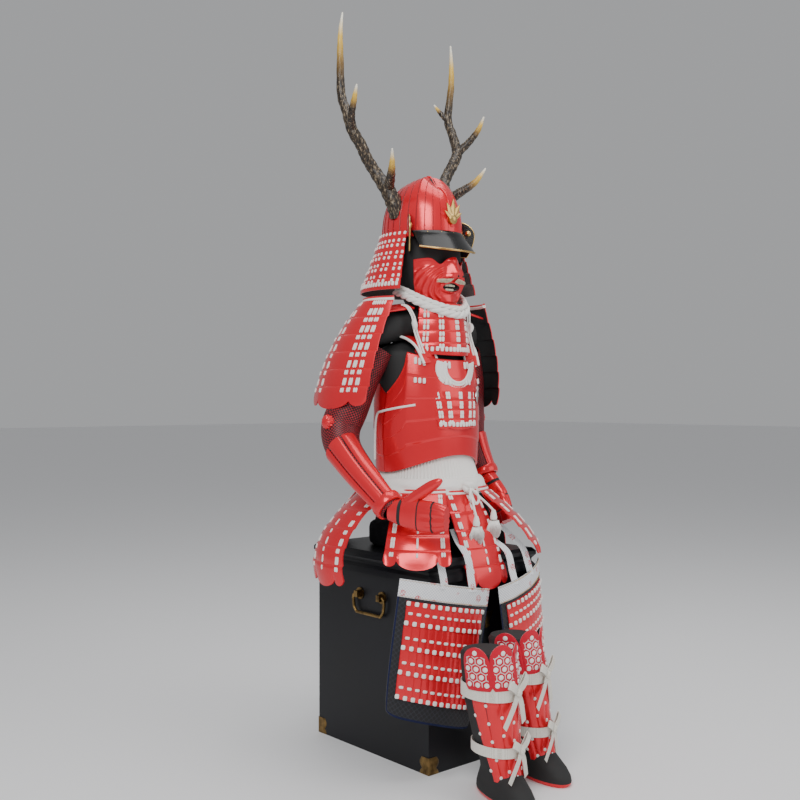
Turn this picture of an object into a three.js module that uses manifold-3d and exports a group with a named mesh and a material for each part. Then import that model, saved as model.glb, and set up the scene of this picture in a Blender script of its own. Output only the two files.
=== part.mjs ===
import * as THREE from 'three';
import ManifoldModule from 'manifold-3d';

const wasm = await ManifoldModule();
wasm.setup();
const { Manifold, Mesh: ManifoldMesh } = wasm;

// Millimetres, +Z up. The armour faces -Y, and its right arm is at -X.
// Points below are [side, forward, up]; forward turns into -Y when a solid is made.

const GAP = 0.35;

const CHEST = { halfWide: 175, halfDeep: 212, wall: 12, bodyTop: 441, lidTop: 497 };
const BAIL = { z: 388, front: 45, back: -40, out: 184, drop: 45, rod: 4, bore: 4.25 };
const CUSHION = { bottom: 497.35, top: 560, halfWide: 118, halfDeep: 128 };
const BOWL = { halfWide: 95, halfDeep: 110, forward: -5, base: 1286, wall: 4 };
const CUIRASS = { halfWide: 135, halfDeep: 110, forward: 15, wall: 4 };

const COMB_CURVE = [
  { f: -90, z: 1388 },
  { f: -60, z: 1412 },
  { f: -30, z: 1426 },
  { f: 5, z: 1436 },
  { f: 25, z: 1440 },
  { f: 42, z: 1418 },
  { f: 60, z: 1395 },
];

// Hanging panels: az is the way the panel faces, r its distance from the middle line.
const TASSETS = [
  { name: 'tasset_front', az: 0, r0: 152, z0: 640, r1: 240, z1: 428, w0: 60, w1: 68, s0: 20, s1: 10, belly: 12, rows: 5 },
  { name: 'tasset_front_right', az: -45, r0: 160, z0: 645, r1: 300, z1: 492, w0: 62, w1: 80, s0: 22, s1: 14, belly: 16, rows: 5 },
  { name: 'tasset_front_left', az: 45, r0: 160, z0: 645, r1: 300, z1: 492, w0: 62, w1: 80, s0: 22, s1: 14, belly: 16, rows: 5 },
  { name: 'tasset_side_right', az: -100, r0: 160, z0: 645, r1: 282, z1: 430, w0: 62, w1: 78, s0: 20, s1: 12, belly: 46, rows: 5 },
  { name: 'tasset_side_left', az: 100, r0: 160, z0: 645, r1: 282, z1: 430, w0: 62, w1: 78, s0: 20, s1: 12, belly: 46, rows: 5 },
  { name: 'tasset_back_right', az: -154, r0: 165, z0: 645, r1: 290, z1: 440, w0: 62, w1: 76, s0: 20, s1: 12, belly: 20, rows: 5 },
  { name: 'tasset_back_left', az: 154, r0: 165, z0: 645, r1: 290, z1: 440, w0: 62, w1: 76, s0: 20, s1: 12, belly: 20, rows: 5 },
];

const THIGH_PANELS = {
  right: {
    innerTop: [14, 250, 420],
    outerTop: [246, 190, 463],
    outerBottom: [286, 176, 155],
    innerBottom: [78, 250, 97],
    belly: 28,
    wall: 3,
  },
  left: {
    innerTop: [14, 250, 420],
    outerTop: [228, 190, 463],
    outerBottom: [264, 180, 155],
    innerBottom: [64, 252, 97],
    belly: 24,
    wall: 3,
  },
};

const ARMS = {
  right: {
    path: [
      { p: [150, 0, 998], r: 40 },
      { p: [182, -22, 930], r: 44 },
      { p: [208, -45, 850], r: 49 },
      { p: [226, -54, 800], r: 49 },
      { p: [236, -30, 752], r: 44 },
      { p: [242, 40, 700], r: 37 },
      { p: [238, 112, 645], r: 31 },
      { p: [232, 150, 615], r: 29 },
    ],
    boss: [268, -48, 816],
    hand: [
      { p: [232, 152, 614], w: 24, h: 25 },
      { p: [226, 178, 611], w: 19, h: 31 },
      { p: [216, 214, 607], w: 18, h: 36 },
      { p: [208, 244, 605], w: 17, h: 37 },
      { p: [200, 272, 604], w: 15, h: 34 },
      { p: [194, 292, 603], w: 12, h: 27 },
    ],
    thumb: [
      { p: [224, 186, 630], r: 14 },
      { p: [213, 222, 655], r: 14 },
      { p: [203, 250, 674], r: 13 },
      { p: [197, 268, 685], r: 9 },
      { p: [194, 276, 689], r: 4 },
    ],
    hollow: [
      { p: [233, 145, 616], w: 21, h: 21 },
      { p: [226, 178, 611], w: 15, h: 27 },
      { p: [216, 214, 607], w: 13, h: 31 },
      { p: [209, 240, 605], w: 12, h: 31 },
    ],
    band: [
      { p: [236, 128, 632], r: 37 },
      { p: [233, 144, 620], r: 36 },
    ],
  },
  left: {
    path: [
      { p: [150, 0, 998], r: 40 },
      { p: [182, -22, 930], r: 44 },
      { p: [204, -46, 860], r: 47 },
      { p: [219, -58, 812], r: 46 },
      { p: [226, -56, 770], r: 41 },
      { p: [231, -42, 730], r: 37 },
      { p: [236, -20, 686], r: 32 },
      { p: [239, -8, 664], r: 30 },
    ],
    boss: [260, -56, 822],
    hand: [
      { p: [239, -7, 663], w: 20, h: 27 },
      { p: [242, 6, 640], w: 18, h: 33 },
      { p: [247, 22, 610], w: 17, h: 39 },
      { p: [250, 34, 584], w: 16, h: 39 },
      { p: [251, 45, 560], w: 14, h: 35 },
      { p: [248, 54, 540], w: 12, h: 28 },
    ],
    thumb: [
      { p: [244, 34, 618], r: 13 },
      { p: [240, 56, 606], r: 12 },
      { p: [238, 70, 588], r: 9 },
      { p: [238, 76, 578], r: 4 },
    ],
    hollow: [
      { p: [238.5, -11, 670], w: 17, h: 24 },
      { p: [242, 6, 640], w: 14, h: 29 },
      { p: [247, 22, 610], w: 12, h: 34 },
      { p: [249.5, 32, 588], w: 11, h: 33 },
    ],
    band: [
      { p: [237, -16, 680], r: 38 },
      { p: [239, -9, 665], r: 37 },
    ],
  },
};

const LEGS = [
  { side: 'right', x0: -135, f0: 398, x1: -180, f1: 402, yaw: -14 },
  { side: 'left', x0: 26, f0: 352, x1: -34, f1: 345, yaw: -8 },
];

const ANTLER_SHAFT = [
  { p: [81, -6, 1330], r: 19 },
  { p: [88, -8, 1362], r: 22 },
  { p: [104, -19, 1400], r: 19 },
  { p: [118, -47, 1445], r: 15.5 },
  { p: [142, -56, 1482], r: 14.5 },
  { p: [160, -55, 1510], r: 14.5 },
  { p: [183, -63, 1548], r: 14 },
  { p: [186, -84, 1600], r: 12 },
  { p: [187, -103, 1648], r: 11 },
  { p: [194, -98, 1738], r: 8 },
  { p: [194, -97, 1800], r: 5 },
  { p: [189, -95, 1851], r: 2 },
];

const ANTLER_TINES = [
  [
    { p: [103, -19, 1400], r: 14 },
    { p: [120, 10, 1418], r: 12 },
    { p: [144, 45, 1444], r: 8 },
    { p: [162, 67, 1480], r: 2 },
  ],
  [
    { p: [183, -63, 1546], r: 12 },
    { p: [204, -40, 1574], r: 9.5 },
    { p: [216, -14, 1606], r: 7 },
    { p: [221, 3, 1640], r: 2 },
  ],
  [
    { p: [185, -103, 1646], r: 9 },
    { p: [172, -116, 1664], r: 6.5 },
    { p: [159, -129, 1688], r: 2 },
  ],
];

const COLOR = {
  lacquer: 0xd8202a,
  lace: 0xf4f2ee,
  black: 0x141416,
  cloth: 0x1b1a1f,
  gold: 0xc8a04a,
  silver: 0xc9c9c6,
  horn: 0x8a7f6c,
  cream: 0xe8dfc4,
  ribbon: 0xe9e2cf,
};

const parts = [];

function lerp(a, b, t) {
  return a + (b - a) * t;
}

function mix(p, q, t) {
  return [lerp(p[0], q[0], t), lerp(p[1], q[1], t), lerp(p[2], q[2], t)];
}

function radians(degrees) {
  return (degrees * Math.PI) / 180;
}

function smoothTable(table, key, value, x) {
  if (x <= table[0][key]) {
    return table[0][value];
  }
  for (let i = 1; i < table.length; i++) {
    if (x <= table[i][key]) {
      const t = (x - table[i - 1][key]) / (table[i][key] - table[i - 1][key]);
      return lerp(table[i - 1][value], table[i][value], t);
    }
  }
  return table[table.length - 1][value];
}

function signedVolume(points, faces) {
  let total = 0;
  for (const [a, b, c] of faces) {
    const p = points[a];
    const q = points[b];
    const r = points[c];
    total += p[0] * (q[1] * r[2] - q[2] * r[1]);
    total += p[1] * (q[2] * r[0] - q[0] * r[2]);
    total += p[2] * (q[0] * r[1] - q[1] * r[0]);
  }
  return total / 6;
}

function solidFrom(points, faces) {
  const placed = points.map((p) => [p[0], -p[1], p[2]]);
  const turned = signedVolume(placed, faces) < 0;
  const flat = faces.map((f) => (turned ? [f[0], f[2], f[1]] : f)).flat();
  const mesh = new ManifoldMesh({
    numProp: 3,
    vertProperties: new Float32Array(placed.flat()),
    triVerts: new Uint32Array(flat),
  });
  mesh.merge();
  return new Manifold(mesh);
}

function quad(faces, a, b, c, d) {
  faces.push([a, b, c]);
  faces.push([a, c, d]);
}

// A wall between an outer and an inner grid of points; loop joins the last column to the first.
function wall(outer, inner, loop) {
  const rows = outer.length;
  const cols = outer[0].length;
  const points = outer.flat().concat(inner.flat());
  const faces = [];
  const half = rows * cols;
  const at = (j, i, layer) => layer * half + j * cols + (i % cols);
  const last = loop ? cols : cols - 1;
  for (let j = 0; j < rows - 1; j++) {
    for (let i = 0; i < last; i++) {
      quad(faces, at(j, i, 0), at(j, i + 1, 0), at(j + 1, i + 1, 0), at(j + 1, i, 0));
      quad(faces, at(j, i, 1), at(j + 1, i, 1), at(j + 1, i + 1, 1), at(j, i + 1, 1));
    }
  }
  for (let i = 0; i < last; i++) {
    quad(faces, at(0, i, 0), at(0, i, 1), at(0, i + 1, 1), at(0, i + 1, 0));
    quad(faces, at(rows - 1, i, 0), at(rows - 1, i + 1, 0), at(rows - 1, i + 1, 1), at(rows - 1, i, 1));
  }
  if (!loop) {
    for (let j = 0; j < rows - 1; j++) {
      quad(faces, at(j, 0, 0), at(j + 1, 0, 0), at(j + 1, 0, 1), at(j, 0, 1));
      quad(faces, at(j, cols - 1, 0), at(j, cols - 1, 1), at(j + 1, cols - 1, 1), at(j + 1, cols - 1, 0));
    }
  }
  return solidFrom(points, faces);
}

// A closed body through a stack of rings, capped at both ends.
function loft(rings) {
  const n = rings[0].length;
  const points = rings.flat();
  const faces = [];
  for (let j = 0; j < rings.length - 1; j++) {
    for (let i = 0; i < n; i++) {
      const k = (i + 1) % n;
      quad(faces, j * n + i, j * n + k, (j + 1) * n + k, (j + 1) * n + i);
    }
  }
  const foot = points.length;
  points.push(middle(rings[0]));
  points.push(middle(rings[rings.length - 1]));
  const top = (rings.length - 1) * n;
  for (let i = 0; i < n; i++) {
    const k = (i + 1) % n;
    faces.push([foot, k, i]);
    faces.push([foot + 1, top + i, top + k]);
  }
  return solidFrom(points, faces);
}

function middle(ring) {
  const sum = [0, 0, 0];
  for (const p of ring) {
    sum[0] += p[0] / ring.length;
    sum[1] += p[1] / ring.length;
    sum[2] += p[2] / ring.length;
  }
  return sum;
}

// Superellipse ring: power 2 is an ellipse, higher powers are squarer.
function ring(cx, cf, z, a, b, power = 2, n = 14) {
  const out = [];
  for (let i = 0; i < n; i++) {
    const t = (2 * Math.PI * i) / n;
    const c = Math.cos(t);
    const s = Math.sin(t);
    const x = Math.sign(s) * Math.abs(s) ** (2 / power);
    const f = Math.sign(c) * Math.abs(c) ** (2 / power);
    out.push([cx + a * x, cf + b * f, z]);
  }
  return out;
}

// Rings round a path of {p, r} or {p, w, h}; grow adds to every radius.
function ringsAlong(path, sides, grow = 0) {
  const centres = path.map((k) => new THREE.Vector3(...k.p));
  const rings = [];
  let side = null;
  for (let j = 0; j < path.length; j++) {
    const before = centres[Math.max(j - 1, 0)];
    const after = centres[Math.min(j + 1, path.length - 1)];
    const along = after.clone().sub(before).normalize();
    if (side === null) {
      const helper = Math.abs(along.x) < 0.8 ? new THREE.Vector3(1, 0, 0) : new THREE.Vector3(0, 0, 1);
      side = helper;
    }
    side = side.clone().sub(along.clone().multiplyScalar(side.dot(along))).normalize();
    const up = along.clone().cross(side);
    const w = (path[j].w ?? path[j].r) + grow;
    const h = (path[j].h ?? path[j].r) + grow;
    const loop = [];
    for (let i = 0; i < sides; i++) {
      const t = (2 * Math.PI * i) / sides;
      const q = centres[j].clone();
      q.addScaledVector(side, w * Math.cos(t));
      q.addScaledVector(up, h * Math.sin(t));
      loop.push([q.x, q.y, q.z]);
    }
    rings.push(loop);
  }
  return rings;
}

function rod(path, sides) {
  return loft(ringsAlong(path, sides));
}

function sleeveTube(path, sides, thick) {
  return wall(ringsAlong(path, sides), ringsAlong(path, sides, -thick), true);
}

function block(x0, x1, f0, f1, z0, z1) {
  const points = [];
  for (const z of [z0, z1]) {
    points.push([x0, f0, z], [x1, f0, z], [x1, f1, z], [x0, f1, z]);
  }
  return loft([points.slice(0, 4), points.slice(4)]);
}

// A sheet through place(u, v, out): u across, v downwards, out away from the body.
function sheet(place, cols, stops, thick) {
  const outer = [];
  const inner = [];
  for (const { v, out } of stops) {
    const rowOut = [];
    const rowIn = [];
    for (let i = 0; i <= cols; i++) {
      const u = -1 + (2 * i) / cols;
      rowOut.push(place(u, v, out + thick));
      rowIn.push(place(u, v, out));
    }
    outer.push(rowOut);
    inner.push(rowIn);
  }
  return wall(outer, inner, false);
}

// Each lower lame starts outside the one above it, so the sheet steps outwards.
function lameStops(rows, step) {
  const stops = [{ v: 0, out: step }];
  for (let k = 1; k < rows; k++) {
    stops.push({ v: k / rows - 0.004, out: 0 });
    stops.push({ v: k / rows + 0.004, out: step });
  }
  stops.push({ v: 1, out: 0.4 * step });
  return stops;
}

function plainStops(rows) {
  const stops = [];
  for (let k = 0; k <= rows; k++) {
    stops.push({ v: k / rows, out: 0 });
  }
  return stops;
}

// Place rule for a hanging panel that faces az degrees from the front.
function hangingPlace(d) {
  const az = radians(d.az);
  const n = [Math.sin(az), Math.cos(az)];
  const t = [Math.cos(az), -Math.sin(az)];
  const cx = d.cx ?? 0;
  const cf0 = d.cf0 ?? 0;
  const cf1 = d.cf1 ?? cf0;
  return (u, v, out) => {
    const ease = d.round ? Math.sin((Math.PI * v) / 2) ** 0.75 : v;
    const width = lerp(d.w0, d.w1, ease);
    const sag = lerp(d.s0, d.s1, v);
    const r = lerp(d.r0, d.r1, v) + d.belly * Math.sin(Math.PI * v) - sag * u * u + out;
    const z = lerp(d.z0, d.z1, v);
    const shift = lerp(cf0, cf1, d.round ? v ** 0.7 : v);
    return [cx + n[0] * r + t[0] * width * u, shift + n[1] * r + t[1] * width * u, z];
  };
}

function hangingPanel(d, cols, thick = 3, step = 3) {
  const stops = step > 0 ? lameStops(d.rows, step) : plainStops(d.rows);
  return sheet(hangingPlace(d), cols, stops, thick);
}

function wrapPlace(levels, span, start) {
  return (u, v, out) => {
    const t = start + (u * span) / 2;
    const a = smoothTable(levels, 'v', 'a', v) + out;
    const b = smoothTable(levels, 'v', 'b', v) + out;
    const cf = smoothTable(levels, 'v', 'f', v);
    const z = smoothTable(levels, 'v', 'z', v);
    return [a * Math.sin(radians(t)), cf + b * Math.cos(radians(t)), z];
  };
}

function grown(solid, amount) {
  const mesh = solid.getMesh();
  const p = mesh.vertProperties;
  const n = p.length / mesh.numProp;
  const faces = mesh.triVerts;
  const normals = new Float64Array(n * 3);
  const a = new THREE.Vector3();
  const b = new THREE.Vector3();
  const c = new THREE.Vector3();
  for (let k = 0; k < faces.length; k += 3) {
    const [i, j, m] = [faces[k], faces[k + 1], faces[k + 2]];
    a.set(p[i * 3], p[i * 3 + 1], p[i * 3 + 2]);
    b.set(p[j * 3], p[j * 3 + 1], p[j * 3 + 2]);
    c.set(p[m * 3], p[m * 3 + 1], p[m * 3 + 2]);
    b.sub(a);
    c.sub(a);
    b.cross(c).normalize();
    for (const q of [i, j, m]) {
      normals[q * 3] += b.x;
      normals[q * 3 + 1] += b.y;
      normals[q * 3 + 2] += b.z;
    }
  }
  const moved = new Float32Array(p.length);
  for (let i = 0; i < n; i++) {
    a.set(normals[i * 3], normals[i * 3 + 1], normals[i * 3 + 2]).normalize();
    moved[i * 3] = p[i * 3] + a.x * amount * 1.4;
    moved[i * 3 + 1] = p[i * 3 + 1] + a.y * amount * 1.4;
    moved[i * 3 + 2] = p[i * 3 + 2] + a.z * amount * 1.4;
  }
  return new Manifold(new ManifoldMesh({ numProp: 3, vertProperties: moved, triVerts: faces }));
}

function boxesMeet(p, q) {
  for (let i = 0; i < 3; i++) {
    if (p.min[i] > q.max[i] + 1 || q.min[i] > p.max[i] + 1) {
      return false;
    }
  }
  return true;
}

// Each later part gives way to the earlier ones, with a hair's gap between them.
function add(name, solid, color, options = {}) {
  let shape = solid.simplify(0.12);
  const box = shape.boundingBox();
  for (const other of parts) {
    if (boxesMeet(box, other.box)) {
      const cutter = grown(other.shape, GAP);
      const kept = shape.subtract(cutter).subtract(other.shape);
      if (!kept.isEmpty()) {
        shape = kept;
      }
    }
  }
  const pieces = shape.decompose().sort((p, q) => q.volume() - p.volume());
  shape = pieces[0];
  parts.push({ name, shape, box: shape.boundingBox(), color, options });
}

function mirrored(solid) {
  return solid.mirror([1, 0, 0]);
}

function addPair(stem, solid, color, options = {}) {
  add(`${stem}_right`, mirrored(solid), color, options);
  add(`${stem}_left`, solid, color, options);
}

// Storage chest with its lid, handle plates and bails.
function chestBody() {
  const c = CHEST;
  const outer = block(-c.halfWide, c.halfWide, -c.halfDeep, c.halfDeep, 0, c.bodyTop);
  const hollow = block(c.wall - c.halfWide, c.halfWide - c.wall, c.wall - c.halfDeep, c.halfDeep - c.wall, c.wall, 500);
  return outer.subtract(hollow);
}

function lidRing(grow, z) {
  const a = CHEST.halfWide + grow;
  const b = CHEST.halfDeep + grow;
  return [[-a, -b, z], [a, -b, z], [a, b, z], [-a, b, z]];
}

function chestLid() {
  const outside = [
    lidRing(9, CHEST.bodyTop + GAP),
    lidRing(8, 456),
    lidRing(2, 464),
    lidRing(2, 470),
    lidRing(10, 480),
    lidRing(10, 489),
    lidRing(3, CHEST.lidTop),
  ];
  const inside = [lidRing(-10, 430), lidRing(-10, 485)];
  return loft(outside).subtract(loft(inside));
}

function bailBore(f0, f1, radius) {
  return rod([{ p: [BAIL.out, f0, BAIL.z], r: radius }, { p: [BAIL.out, f1, BAIL.z], r: radius }], 12);
}

function handlePlate(f) {
  const z = BAIL.z;
  const plate = rod([{ p: [CHEST.halfWide + 0.2, f, z], r: 15 }, { p: [CHEST.halfWide + 3, f, z], r: 15 }], 16);
  const eye = block(CHEST.halfWide + 2, BAIL.out + 7, f - 6, f + 6, z - 8, z + 8);
  return plate.add(eye).subtract(bailBore(f - 20, f + 20, BAIL.bore));
}

function bail() {
  const b = BAIL;
  const x = b.out;
  const path = [
    { p: [x, b.front - 5, b.z], r: b.rod },
    { p: [x, b.front + 10, b.z], r: b.rod },
    { p: [x, b.front + 15, b.z - 4], r: b.rod },
    { p: [x, b.front + 17, b.z - 12], r: b.rod },
    { p: [x, b.front + 14, b.z - b.drop + 12], r: b.rod },
    { p: [x, b.front + 4, b.z - b.drop], r: b.rod },
    { p: [x, b.back - 4, b.z - b.drop], r: b.rod },
    { p: [x, b.back - 14, b.z - b.drop + 12], r: b.rod },
    { p: [x, b.back - 17, b.z - 12], r: b.rod },
    { p: [x, b.back - 15, b.z - 4], r: b.rod },
    { p: [x, b.back - 10, b.z], r: b.rod },
    { p: [x, b.back + 5, b.z], r: b.rod },
  ];
  return rod(path, 12);
}

// Seat pad and the limbless form that carries the armour.
function seatPad() {
  const c = CUSHION;
  return loft([
    ring(0, 0, c.bottom, c.halfWide - 10, c.halfDeep - 10, 3.2),
    ring(0, 0, c.bottom + 12, c.halfWide, c.halfDeep, 3.2),
    ring(0, 0, c.top - 14, c.halfWide, c.halfDeep, 3.2),
    ring(0, 0, c.top, c.halfWide - 14, c.halfDeep - 14, 3.2),
  ]);
}

function torsoForm() {
  return loft([
    ring(0, 5, CUSHION.top + GAP, 96, 82, 2.4),
    ring(0, 10, 760, 112, 88, 2.3),
    ring(0, 8, 960, 140, 86, 2.3),
    ring(0, 4, 1000, 128, 68, 2.2),
    ring(0, 4, 1024, 74, 54, 2),
    ring(0, 6, 1048, 48, 48, 2),
    ring(0, 8, 1110, 46, 48, 2),
  ]);
}

function headForm() {
  return loft([
    ring(0, 10, 1106, 46, 49, 2),
    ring(0, 16, 1150, 68, 66, 2.4),
    ring(0, 14, 1216, 81, 78, 2.6),
    ring(0, 6, 1280, 80, 88, 2.3),
    ring(0, 0, 1355, 70, 78, 2),
    ring(0, 0, 1404, 46, 54, 2),
    ring(0, 4, 1438, 16, 30, 2),
  ]);
}

// Helmet bowl: rings that close towards a narrow comb on the middle plane.
function bowlPoint(turn, lift, inset) {
  const s = (lift * Math.PI) / 2;
  const baseF = BOWL.forward + (BOWL.halfDeep - inset) * Math.cos(turn);
  const combF = -13 + (62 - inset) * Math.cos(turn);
  const combZ = smoothTable(COMB_CURVE, 'f', 'z', combF) - inset;
  const x = (BOWL.halfWide - inset) * Math.sin(turn) * Math.max(Math.cos(s) ** 0.85, 0.03);
  const f = lerp(baseF, combF, 1 - Math.cos(s));
  return [x, f, lerp(BOWL.base, combZ, Math.sin(s) ** 0.9)];
}

function bowlBody(inset, drop) {
  const rings = [];
  const n = 20;
  for (const lift of [0, 0.3, 0.6, 0.85, 1]) {
    const loop = [];
    for (let i = 0; i < n; i++) {
      loop.push(bowlPoint((2 * Math.PI * i) / n, lift, inset));
    }
    if (lift === 0) {
      rings.push(loop.map((p) => [p[0], p[1], p[2] - drop]));
    }
    if (lift > 0 || drop === 0) {
      rings.push(loop);
    }
  }
  return rings;
}

function stackWithStrip(rings) {
  const n = rings[0].length;
  const points = rings.flat();
  const faces = [];
  for (let j = 0; j < rings.length - 1; j++) {
    for (let i = 0; i < n; i++) {
      const k = (i + 1) % n;
      quad(faces, j * n + i, j * n + k, (j + 1) * n + k, (j + 1) * n + i);
    }
  }
  for (const [base, turn] of [[0, true], [(rings.length - 1) * n, false]]) {
    for (let i = 0; i < n / 2; i++) {
      const a = base + i;
      const b = base + i + 1;
      const c = base + ((n - i - 1) % n);
      const d = base + ((n - i) % n);
      const strip = [];
      if (i === 0) {
        strip.push([a, b, c]);
      } else if (i === n / 2 - 1) {
        strip.push([a, b, d]);
      } else {
        quad(strip, a, b, c, d);
      }
      faces.push(...(turn ? strip.map((t) => [t[0], t[2], t[1]]) : strip));
    }
  }
  return solidFrom(points, faces);
}

function helmetBowl() {
  const outside = stackWithStrip(bowlBody(0, 0));
  const inside = stackWithStrip(bowlBody(BOWL.wall, 6));
  const brow = wall(
    [ring(0, BOWL.forward, 1278, 98, 113, 2, 20), ring(0, BOWL.forward, 1288, 98, 113, 2, 20)],
    [ring(0, BOWL.forward, 1278, 91.5, 106.5, 2, 20), ring(0, BOWL.forward, 1288, 91.5, 106.5, 2, 20)],
    true,
  );
  return outside.add(brow).subtract(inside);
}

function visor() {
  const place = (u, v, out) => {
    const t = radians(u * 60);
    const edge = lerp(0, 1, v);
    const x = lerp(97.6, 106, edge) * Math.sin(t);
    const f = lerp(-5, 32, edge) + lerp(112.6, 112, edge) * Math.cos(t) + 3 * (1 - Math.abs(u)) * edge;
    return [x, f + 0.3 * out, lerp(1289, 1237, edge) + 10 * u * u * edge + 0.95 * out];
  };
  return sheet(place, 14, plainStops(2), 3);
}

function neckGuard() {
  const levels = [
    { v: 0, a: 96, b: 98, f: -10, z: 1294 },
    { v: 0.5, a: 122, b: 126, f: -12, z: 1216 },
    { v: 1, a: 146, b: 156, f: -15, z: 1143 },
  ];
  return sheet(wrapPlace(levels, 236, 180), 12, lameStops(5, 4), 3);
}

function turnBackFlap() {
  const corners = [
    [83, 43, 1333],
    [109, 73, 1326],
    [112, 79, 1250],
    [86, 46, 1242],
  ];
  const push = [3.2, -2.7, 0];
  const outer = corners;
  const inner = corners.map((p) => [p[0] + push[0], p[1] + push[1], p[2] + push[2]]);
  return loft([outer, inner]);
}

function antler() {
  let shape = rod(ANTLER_SHAFT, 8);
  for (const tine of ANTLER_TINES) {
    shape = shape.add(rod(tine, 6));
  }
  const foot = rod([{ p: [70, -5, 1318], r: 13 }, { p: [82, -6, 1336], r: 15 }], 10);
  return shape.add(foot);
}

function leafCrest() {
  const boss = rod([{ p: [0, 103, 1322], r: 13 }, { p: [0, 116, 1322], r: 11 }], 10);
  let shape = boss;
  for (const [lean, length] of [[-58, 34], [-30, 44], [0, 50], [30, 44], [58, 34]]) {
    const s = Math.sin(radians(lean));
    const c = Math.cos(radians(lean));
    const path = [
      { p: [3 * s, 112, 1322 + 3 * c], w: 4, h: 2 },
      { p: [length * 0.55 * s, 113, 1322 + length * 0.55 * c], w: 8, h: 2 },
      { p: [length * s, 112, 1322 + length * c], w: 1.2, h: 1 },
    ];
    shape = shape.add(rod(path, 6));
  }
  return shape;
}

// Face mask: half of an oval with a nose on it.
function maskPlace(u, v, out) {
  const t = radians(u * 72);
  const z = lerp(1226 - 6 * Math.abs(u) ** 1.5, 1104 + 26 * u * u, v);
  const narrow = smoothTable([
    { z: 1100, s: 0.66 },
    { z: 1126, s: 0.86 },
    { z: 1160, s: 0.98 },
    { z: 1240, s: 1 },
  ], 'z', 's', z);
  const x = 80 * narrow * Math.sin(t);
  const bridge = smoothTable([
    { z: 1166, n: 0 },
    { z: 1176, n: 16 },
    { z: 1186, n: 26 },
    { z: 1212, n: 13 },
    { z: 1240, n: 3 },
  ], 'z', 'n', z);
  const nose = bridge * Math.exp(-((x / 14) ** 2));
  const chin = 12 * Math.exp(-(((z - 1112) / 14) ** 2)) * Math.exp(-((x / 34) ** 2));
  const f = 26 + 80 * narrow * Math.cos(t) + nose + chin;
  return [x + out * Math.sin(t), f + out * Math.cos(t), z];
}

function faceMask() {
  return sheet(maskPlace, 12, plainStops(8), 2.5);
}

const THROAT = { az: 0, r0: 112, z0: 1102, r1: 128, z1: 981, w0: 76, w1: 92, s0: 46, s1: 62, belly: 3, rows: 4 };

function neckWrap() {
  const path = [
    [-94, 0, 1143],
    [-93, 38, 1129],
    [-78, 76, 1110],
    [-44, 110, 1091],
    [0, 125, 1082],
    [44, 110, 1091],
    [78, 76, 1110],
    [93, 38, 1129],
    [94, 0, 1143],
  ].map((p) => ({ p, r: 10 }));
  return rod(path, 10);
}

// Cuirass halves: a wall whose top dips at the armholes.
function cuirassTop(t) {
  const c = Math.cos(t);
  if (c > 0) {
    const away = (Math.acos(c) * 180) / Math.PI;
    const hole = Math.max(away - 61, 0) / 30;
    return 887 + (83 + 20 * Math.min(away / 60, 1) ** 2) * (1 - Math.min(hole, 1) ** 0.45);
  }
  return 887 + 108 * Math.min(1, -c * 1.5) ** 1.4;
}

function cuirassBottom(t) {
  return 691 + 41 * Math.max(Math.cos(t), 0) ** 2;
}

// The front's columns crowd together where the armholes cut in.
function frontTurn(u) {
  const stops = [0, 22, 42, 60, 63, 69, 78, 89.6];
  const k = Math.min(Math.round(Math.abs(u) * 7), 7);
  return Math.sign(u) * stops[k];
}

function cuirassHalf(from, to, cols) {
  const place = (u, v, out) => {
    const t = radians(from < 0 ? frontTurn(u) : lerp(from, to, (u + 1) / 2));
    const z = lerp(cuirassTop(t), cuirassBottom(t), v);
    const swell = 8 * Math.sin(Math.PI * v) - 6 * (1 - v);
    const a = CUIRASS.halfWide + swell + out;
    const b = CUIRASS.halfDeep + swell + out;
    const lean = Math.cos(t) > 0 ? 0 : -6 * (1 - v);
    return [a * Math.sin(t), CUIRASS.forward + b * Math.cos(t) + lean, z];
  };
  return sheet(place, cols, plainStops(3), CUIRASS.wall);
}

function shoulderStrap() {
  const line = [
    [72, -84, 975],
    [78, -76, 1004],
    [84, -50, 1022],
    [88, -5, 1030],
    [84, 45, 1024],
    [78, 82, 1002],
    [70, 104, 960],
  ];
  const outer = [];
  const inner = [];
  for (let j = 0; j < line.length; j++) {
    const before = line[Math.max(j - 1, 0)];
    const after = line[Math.min(j + 1, line.length - 1)];
    const df = after[1] - before[1];
    const dz = after[2] - before[2];
    const length = Math.hypot(df, dz);
    const nf = -dz / length;
    const nz = df / length;
    const p = line[j];
    const rowOut = [];
    const rowIn = [];
    for (const side of [-24, 24]) {
      const tip = p[2] - 0.12 * Math.max(side, 0);
      rowOut.push([p[0] + side, p[1] + nf * 5, tip + nz * 5]);
      rowIn.push([p[0] + side, p[1], tip]);
    }
    outer.push(rowOut);
    inner.push(rowIn);
  }
  return wall(outer, inner, false);
}

function bibCollar() {
  const outer = [];
  const inner = [];
  for (let i = 0; i <= 16; i++) {
    const t = radians(lerp(-105, 105, i / 16));
    const row = [];
    const back = [];
    for (const r of [38, 52, 66]) {
      const x = r * 0.98 * Math.sin(t);
      const z = 951 - (r * 0.92) * Math.cos(t);
      const f = 130 - x * x / 250 - 0.1 * (951 - z);
      row.push([x, f + 6, z]);
      back.push([x, f + 3, z]);
    }
    outer.push(row);
    inner.push(back);
  }
  return wall(outer, inner, false);
}

const BIB = { az: 0, r0: 131, z0: 893, r1: 139, z1: 799, w0: 76, w1: 62, s0: 26, s1: 17, belly: 2, rows: 2 };

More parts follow.
